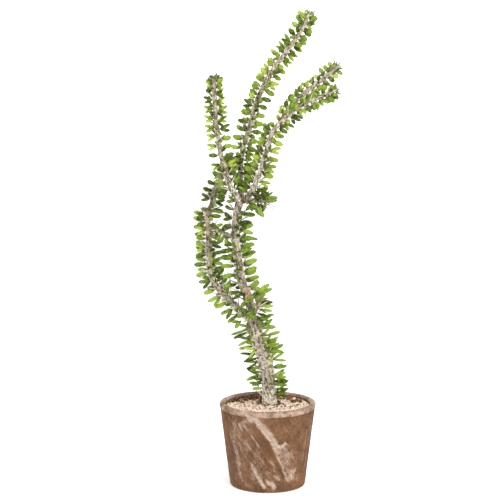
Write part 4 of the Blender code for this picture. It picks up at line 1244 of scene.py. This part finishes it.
def pot_mesh(mat):
    lip_r = LIP_R
    outline = [(R_TOP - lip_r - 1.6, POT_H + 0.0)]
    outline += round_corner(R_TOP - lip_r - 0.1, POT_H - lip_r, lip_r, 84, 0, 9)
    outline += run((R_TOP - 0.1, POT_H - lip_r), (outer_r(POT_H - 7.4) - 0.05, POT_H - 7.4), 1.1)
    outline += [(outer_r(POT_H - 7.4) - 0.05, POT_H - 7.4),
                (outer_r(POT_H - 8.3) - 0.45, POT_H - 8.3),
                (outer_r(POT_H - 9.3) - 0.55, POT_H - 9.3),
                (outer_r(POT_H - 10.6) - 0.25, POT_H - 10.6)]
    foot0 = (outer_r(FOOT_R + 0.6), FOOT_R + 0.6)
    outline += run(outline[-1], foot0, 1.15) + [foot0]
    outline += round_corner(R_FOOT - FOOT_R + 0.25, FOOT_R, FOOT_R, -8, -90, 6)
    outline += run((R_FOOT - FOOT_R + 0.25, 0), (DRAIN_D / 2 + 0.8, 0), 3.0)
    outline += [(DRAIN_D / 2 + 0.8, 0.0), (DRAIN_D / 2, 0.8), (DRAIN_D / 2, FLOOR - 1),
                (DRAIN_D / 2 + 1, FLOOR)]
    outline += run((DRAIN_D / 2 + 1, FLOOR), (inner_r(FLOOR) - 4, FLOOR), 5.0)
    outline += [(inner_r(FLOOR) - 4, FLOOR), (inner_r(FLOOR + 4), FLOOR + 4)]
    outline += run((inner_r(FLOOR + 4), FLOOR + 4), (inner_r(104), 104), 6.0)
    outline += [(inner_r(104), 104)]
    outline += run((inner_r(104), 104), (inner_r(POT_H - 4), POT_H - 4), 1.0)
    outline += round_corner(inner_r(POT_H - 4) + 3.4, POT_H - 3.4, 3.4, 180, 98, 7)
    prof = np.array(outline)
    cols = 420
    ang = np.arange(cols) * 2 * math.pi / cols
    Rr = np.repeat(prof[:, 0][:, None], cols, 1)
    Zz = np.repeat(prof[:, 1][:, None], cols, 1)
    A = np.repeat(ang[None, :], len(prof), 0)
    rows = len(prof)
    idx = np.arange(rows)
    outside = (prof[:, 0] > 50) & (idx < rows * 0.62) & (prof[:, 1] > 1.0)
    U = np.degrees(A) * math.pi / 180 * 62.5      # arc length from the front
    U = (U + math.pi * 62.5) % (2 * math.pi * 62.5) - math.pi * 62.5
    # hand-made unevenness, then the marks
    wob = np.zeros_like(Rr)
    warp_u = np.zeros_like(Rr)
    warp_z = np.zeros_like(Rr)
    for i in range(rows):
        for j in range(cols):
            p = Vector((math.sin(A[i, j]) * Rr[i, j], -math.cos(A[i, j]) * Rr[i, j],
                        Zz[i, j]))
            wob[i, j] = 0.22 * perlin.noise(p * 0.045) + 0.10 * perlin.noise(p * 0.17)
            if outside[i]:
                q = p * 0.11
                warp_u[i, j] = 1.8 * perlin.noise(q + Vector((9, 3, 1))) \
                    + 0.8 * perlin.noise(p * 0.42)
                warp_z[i, j] = 1.8 * perlin.noise(q + Vector((1, 7, 5)))
    calm = np.clip((Zz - 1.5) / 4.0, 0, 1)
    Rr = Rr + wob * calm
    bloom = np.zeros_like(Rr)
    dark = np.zeros_like(Rr)
    uu, zz = U + warp_u, Zz + warp_z
    for line, half, power, crisp in STROKES:
        dist = near_line(uu, zz, line)
        soft = np.exp(-(dist / (half * 1.15)) ** 2 * 0.8)
        hard = np.exp(-(dist / half) ** 4 * 0.9)
        mark = power * (soft + (hard - soft) * crisp)
        bloom = bloom + mark * (1 - np.clip(bloom, 0, 1))
    for line, half, power in DARK_STREAKS_AND_SHADE:
        dist = near_line(uu, zz, line)
        dark = np.maximum(dark, power * np.exp(-(dist / half) ** 2))
    bloom = bloom * outside[:, None]
    dark = dark * outside[:, None] * (1 - np.clip(bloom * 1.3, 0, 1))
    lip = np.where(prof[:, 1] > POT_H - 9.0, 1.0, 0.0)
    lip = np.clip((prof[:, 1] - (POT_H - 8.6)) / 1.6, 0, 1)[:, None] * np.ones((1, cols))
    # painted shade: the inside wall grows darker going down towards the soil
    inside_dark = (idx > rows * 0.62)[:, None] & (Zz < POT_H - 3.0)
    dark = np.where(inside_dark, np.clip((POT_H - 2 - Zz) / 7.0, 0, 0.25), dark)
    lip = np.where(inside_dark, 0.30, lip)
    verts = np.stack([np.sin(A) * Rr, -np.cos(A) * Rr, Zz], -1).reshape(-1, 3)
    tone = np.stack([bloom, dark, lip], -1).reshape(-1, 3)
    faces = []
    for i in range(rows):
        a, b = i * cols, ((i + 1) % rows) * cols
        for j in range(cols):
            k = (j + 1) % cols
            faces.append((a + k, a + j, b + j, b + k))
    return mesh_object("clay_pot", verts, faces, tone, mat)


# ---- gravel, chips, soil ----------------------------------------------------------
def bed_height(x, y):
    f = min(1.0, math.hypot(x, y) / inner_r(GRAVEL_EDGE))
    return GRAVEL_MID + (GRAVEL_EDGE - GRAVEL_MID) * f + 0.9 * f


ICO = None


def ico():
    """Vertices and faces of a once-subdivided icosahedron."""
    global ICO
    if ICO is None:
        g = (1 + 5 ** 0.5) / 2
        v = [(-1, g, 0), (1, g, 0), (-1, -g, 0), (1, -g, 0), (0, -1, g), (0, 1, g),
             (0, -1, -g), (0, 1, -g), (g, 0, -1), (g, 0, 1), (-g, 0, -1), (-g, 0, 1)]
        f = [(0, 11, 5), (0, 5, 1), (0, 1, 7), (0, 7, 10), (0, 10, 11), (1, 5, 9),
             (5, 11, 4), (11, 10, 2), (10, 7, 6), (7, 1, 8), (3, 9, 4), (3, 4, 2),
             (3, 2, 6), (3, 6, 8), (3, 8, 9), (4, 9, 5), (2, 4, 11), (6, 2, 10),
             (8, 6, 7), (9, 8, 1)]
        v = [np.array(p) / np.linalg.norm(p) for p in v]
        cache, out = {}, []

        def half(a, b):
            key = (min(a, b), max(a, b))
            if key not in cache:
                m = v[a] + v[b]
                v.append(m / np.linalg.norm(m))
                cache[key] = len(v) - 1
            return cache[key]

        for a, b, c in f:
            ab, bc, ca = half(a, b), half(b, c), half(c, a)
            out += [(a, ab, ca), (b, bc, ab), (c, ca, bc), (ab, bc, ca)]
        ICO = np.array(v), out
    return ICO


def spin(rng):
    q = rng.normal(size=4)
    q /= np.linalg.norm(q)
    w, x, y, z = q
    return np.array([[1 - 2 * (y * y + z * z), 2 * (x * y - z * w), 2 * (x * z + y * w)],
                     [2 * (x * y + z * w), 1 - 2 * (x * x + z * z), 2 * (y * z - x * w)],
                     [2 * (x * z - y * w), 2 * (y * z + x * w), 1 - 2 * (x * x + y * y)]])


def grain(rng, at, size, flat=0.75):
    v, f = ico()
    shape = v.copy()
    for _ in range(5):                      # planes knocked off a round pebble
        n = rng.normal(size=3)
        n /= np.linalg.norm(n)
        cut = rng.uniform(0.58, 0.86)
        over = shape @ n - cut
        shape = shape - np.outer(np.clip(over, 0, None), n)
    shape = shape * np.array([1.0, rng.uniform(0.7, 1.0), rng.uniform(0.55, 0.9)])
    shape = shape @ spin(rng).T
    shape[:, 2] *= flat
    return shape * size + at, f


def gravel_meshes(gravel_mat, chip_mat):
    rng = np.random.default_rng(41)
    trunk_c, _, _, _, trunk_r = PATHS["trunk"].at(
        min(PATHS["trunk"].s, key=lambda s: abs(PATHS["trunk"].at(s)[0].z - GRAVEL_MID)))
    grains, chips = Batch(), Batch()
    rim = inner_r(GRAVEL_EDGE) - 1.0
    step = 2.75
    n = int(rim / step) + 2
    for layer in (0, 1):
        for i in range(-n, n + 1):
            for j in range(-n, n + 1):
                x = (i + 0.5 * (j % 2) + 0.5 * layer) * step + rng.uniform(-1, 1)
                y = j * step * 0.88 + 0.4 * step * layer + rng.uniform(-1, 1)
                size = rng.uniform(0.95, 1.95) * (1.0 if layer else 1.08)
                own, tilt = rng.uniform(), rng.uniform()
                rr = math.hypot(x, y)
                if rr > rim - size * 0.7:
                    continue
                if math.hypot(x - trunk_c.x, y - trunk_c.y) < trunk_r + 1.0:
                    continue
                if layer and tilt < 0.30:
                    continue
                back = y > 18 and own > 0.72
                bare = perlin.noise(Vector((x * 0.11, y * 0.11, 3.0)))
                z = bed_height(x, y) - 0.9 + (0.75 if layer else 0.0) \
                    + 0.9 * bare
                if layer and bare < -0.28:
                    continue
                at = np.array([x, y, z])
                v, f = grain(rng, at, size)
                ring = math.hypot(x - trunk_c.x, (y - trunk_c.y) * 1.2)
                # painted shade: grains at the back, near the trunk's foot and against the wall get the darkest brown
                # tones
                if back and tilt > 0.35:
                    own = 0.93
                elif ring < trunk_r + 9 and own > 0.60:
                    own = 0.92
                elif rr > rim - 5 and own > 0.62:
                    own = 0.88
                if layer and ring < trunk_r + 7 and tilt > 0.62:
                    continue
                # painted shade: the lower layer of grains gets a darker tone
                grains.add(v, f, np.tile((own * 0.96 if own > 0.2 else own, 0.0 if layer else 0.35, tilt), (len(v), 1)))
    pieces = [grains.done("gravel_grains", gravel_mat, smooth=False)]
    # bark chips and soil crumbs that lie on and between the grains
    spots = []
    for k in range(120):
        a = math.radians(rng.uniform(12, 168))
        r = rng.uniform(38, rim - 1.5)
        spots.append((r * math.cos(a), r * math.sin(a), rng.uniform(1.6, 4.4)))
    for k in range(26):
        a = math.radians(rng.uniform(40, 140))
        r = rng.uniform(18, 42)
        spots.append((trunk_c.x + r * math.cos(a), trunk_c.y + r * math.sin(a) * 0.9,
                      rng.uniform(1.6, 4.2)))
    for k in range(30):
        a = math.radians(rng.uniform(140, 400))
        r = rng.uniform(trunk_r + 1.5, trunk_r + 7)
        spots.append((trunk_c.x + r * math.cos(a), trunk_c.y + r * math.sin(a),
                      rng.uniform(1.2, 3.2)))
    for k in range(60):
        a = math.radians(rng.uniform(180, 360))
        r = rng.uniform(13, 56)
        spots.append((trunk_c.x + r * math.cos(a), trunk_c.y + r * math.sin(a) * 0.6,
                      rng.uniform(0.9, 2.3)))
    for x, y, size in spots:
        if math.hypot(x, y) > rim - size * 0.8:
            continue
        own = rng.uniform()
        at = np.array([x, y, bed_height(x, y) + 0.2 + 0.25 * size])
        v, f = ico()
        shape = v * (1 + 0.25 * rng.uniform(-1, 1, (len(v), 1)))
        shape = shape * np.array([1.0, rng.uniform(0.35, 0.7), rng.uniform(0.28, 0.5)])
        t = rng.uniform(0, math.pi)
        c, s = math.cos(t), math.sin(t)
        shape = shape @ np.array([[c, s, 0], [-s, c, 0], [0, 0, 1]])
        shape[:, 2] += rng.uniform(-0.3, 0.3) * shape[:, 0]
        chips.add(shape * size + at, f, np.tile((own, 0, 0), (len(v), 1)))
    pieces.append(chips.done("bark_chips", chip_mat))
    return pieces


def bed_mesh(mat, name="gravel_bed"):
    """The uneven sandy bed that the grains lie in, down to the soil, darkened with painted shade between the grains."""
    trunk = PATHS["trunk"]
    rim_top, rim_low = inner_r(GRAVEL_EDGE) - 0.55, inner_r(SOIL_TOP) - 0.6
    cols, rings = 120, 46
    verts, tone = [], []
    for i in range(rings):
        r = rim_top * (i + 1) / rings
        for j in range(cols):
            a = 2 * math.pi * j / cols
            x, y = r * math.cos(a), r * math.sin(a)
            z = bed_height(x, y) - 1.1 + 0.5 * perlin.noise(Vector((x * .3, y * .3, 0))) \
                + 0.9 * perlin.noise(Vector((x * 0.11, y * 0.11, 3.0)))
            verts.append((x, y, z))
            # painted shade between the grains
            tone.append((0.35 + 0.3 * perlin.noise(Vector((x * .2, y * .2, 9))), 0.75, 0.5))
    for z in (SOIL_TOP + GAP,):
        for j in range(cols):
            a = 2 * math.pi * j / cols
            verts.append((rim_low * math.cos(a), rim_low * math.sin(a), z))
            tone.append((0.4, 0.8, 0.5))
    faces = [tuple(reversed(f)) for f in grid_faces(rings + 1, cols)]
    faces = grid_faces(rings + 1, cols)
    faces = [f[::-1] for f in faces]
    verts.append((0, 0, bed_height(0, 0) - 1.1))
    verts.append((0, 0, SOIL_TOP + GAP))
    tone += [(0.4, 0.7, 0.5)] * 2
    top, low = len(verts) - 2, len(verts) - 1
    last = rings * cols
    for j in range(cols):
        k = (j + 1) % cols
        faces.append((top, j, k))
        faces.append((low, last + k, last + j))
    return mesh_object(name, verts, faces, tone, mat)


# ---- putting it together ----------------------------------------------------------
LEAF, SPINE, BARK = leaf_look(), spine_look(), bark_look()
CLAY, GRIT, CHIP, SOIL = clay_look(), gravel_look(), chip_look(), soil_look()

for stem in STEMS:
    bark = bark_mesh(stem, BARK)
    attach(bark, "root")
    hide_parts(stem)
    leaves, spines = foliage(stem, LEAF, SPINE)
    nodes = ["%s_leaves_%d" % (stem, i + 1) for i, r in enumerate(ROWS[stem]) if r]
    for ob in (leaves, spines):
        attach(ob, "root")
        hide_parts(*nodes)

pot = pot_mesh(CLAY)
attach(pot, "root")
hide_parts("pot")

bed = bed_mesh(GRIT)
grains, chips = gravel_meshes(GRIT, CHIP)
for ob in (bed, grains, chips):
    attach(ob, "root")
    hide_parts("gravel_topdressing")

soil_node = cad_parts["potting_soil"]
for i in range(len(soil_node.material_slots)):
    soil_node.material_slots[i].material = SOIL


# ---- floor, light, camera -----------------------------------------------------------
def look_at(ob, target):
    ob.rotation_euler = (Vector(target) - ob.location).to_track_quat("-Z", "Y").to_euler()


def softbox(name, at, target, size, watts, tint=(1, 1, 1)):
    light = bpy.data.lights.new(name, "AREA")
    light.shape, light.size, light.energy, light.color = "DISK", size, watts, tint
    ob = bpy.data.objects.new(name, light)
    ob.location = at
    bpy.context.scene.collection.objects.link(ob)
    look_at(ob, target)
    return ob


def studio_sheet(name, corners, glow):
    mesh = bpy.data.meshes.new(name)
    mesh.from_pydata(corners, [], [tuple(range(len(corners)))])
    ob = bpy.data.objects.new(name, mesh)
    bpy.context.scene.collection.objects.link(ob)
    k = Look(name + "_paper", 0.9, Specular_IOR_Level=0.0)
    k.color(k.ramp(k.noise(3.0, 2), (0.3, (0.90, 0.90, 0.90)), (0.7, (0.93, 0.93, 0.93))))
    k.shader.inputs["Emission Color"].default_value = (1, 1, 1, 1)
    k.shader.inputs["Emission Strength"].default_value = glow
    mesh.materials.append(k.mat)
    return ob


floor = studio_sheet("floor", [(14 * math.cos(math.radians(5 * i)),
                                14 * math.sin(math.radians(5 * i)), 0)
                               for i in range(72)], FLOOR_GLOW)
floor.location = (0, 0, -0.0002)
backdrop = studio_sheet("backdrop", [(-3.2, 4, 0), (3.2, 4, 0),
                                     (3.2, 4, 2.6), (-3.2, 4, 2.6)], 1.0)

# the rest of the room: a pale wall all the way round
ring = [(7.5 * math.cos(math.radians(10 * i)), 7.5 * math.sin(math.radians(10 * i)))
        for i in range(36)]
wall = studio_sheet("studio_wall", [(x, y, 0) for x, y in ring], 0.42)
room = bpy.data.meshes.new("studio_room")
room.from_pydata([(x, y, 0) for x, y in ring] + [(x, y, 3.4) for x, y in ring], [],
                 [(i, (i + 1) % 36, 36 + (i + 1) % 36, 36 + i) for i in range(36)])
room.materials.append(wall.data.materials[0])
wall.data = room

world = bpy.data.worlds.new("studio")
world.use_nodes = True
world.node_tree.nodes["Background"].inputs["Color"].default_value = (1, 1, 1, 1)
world.node_tree.nodes["Background"].inputs["Strength"].default_value = WORLD
bpy.context.scene.world = world

softbox("key", (1.0, -1.9, 2.1), (0, 0, 0.30), 0.9, KEY, (1.0, 0.985, 0.96))
softbox("fill", (-1.9, -1.2, 1.1), (0, 0, 0.3), 1.4, FILL)
softbox("top", (-0.2, -0.1, 2.6), (0, 0, 0.3), 1.5, TOP)

cam = bpy.data.cameras.new("camera")
cam.sensor_width, cam.lens = 36.0, 121.77
cam.clip_end = 60
camera = bpy.data.objects.new("camera", cam)
camera.location = (-0.02557, -2.4, 0.6905)
camera.rotation_euler = (math.radians(90) - 0.14333, 0, 0)
bpy.context.scene.collection.objects.link(camera)
bpy.context.scene.camera = camera
bpy.context.scene.view_settings.view_transform = "Standard"
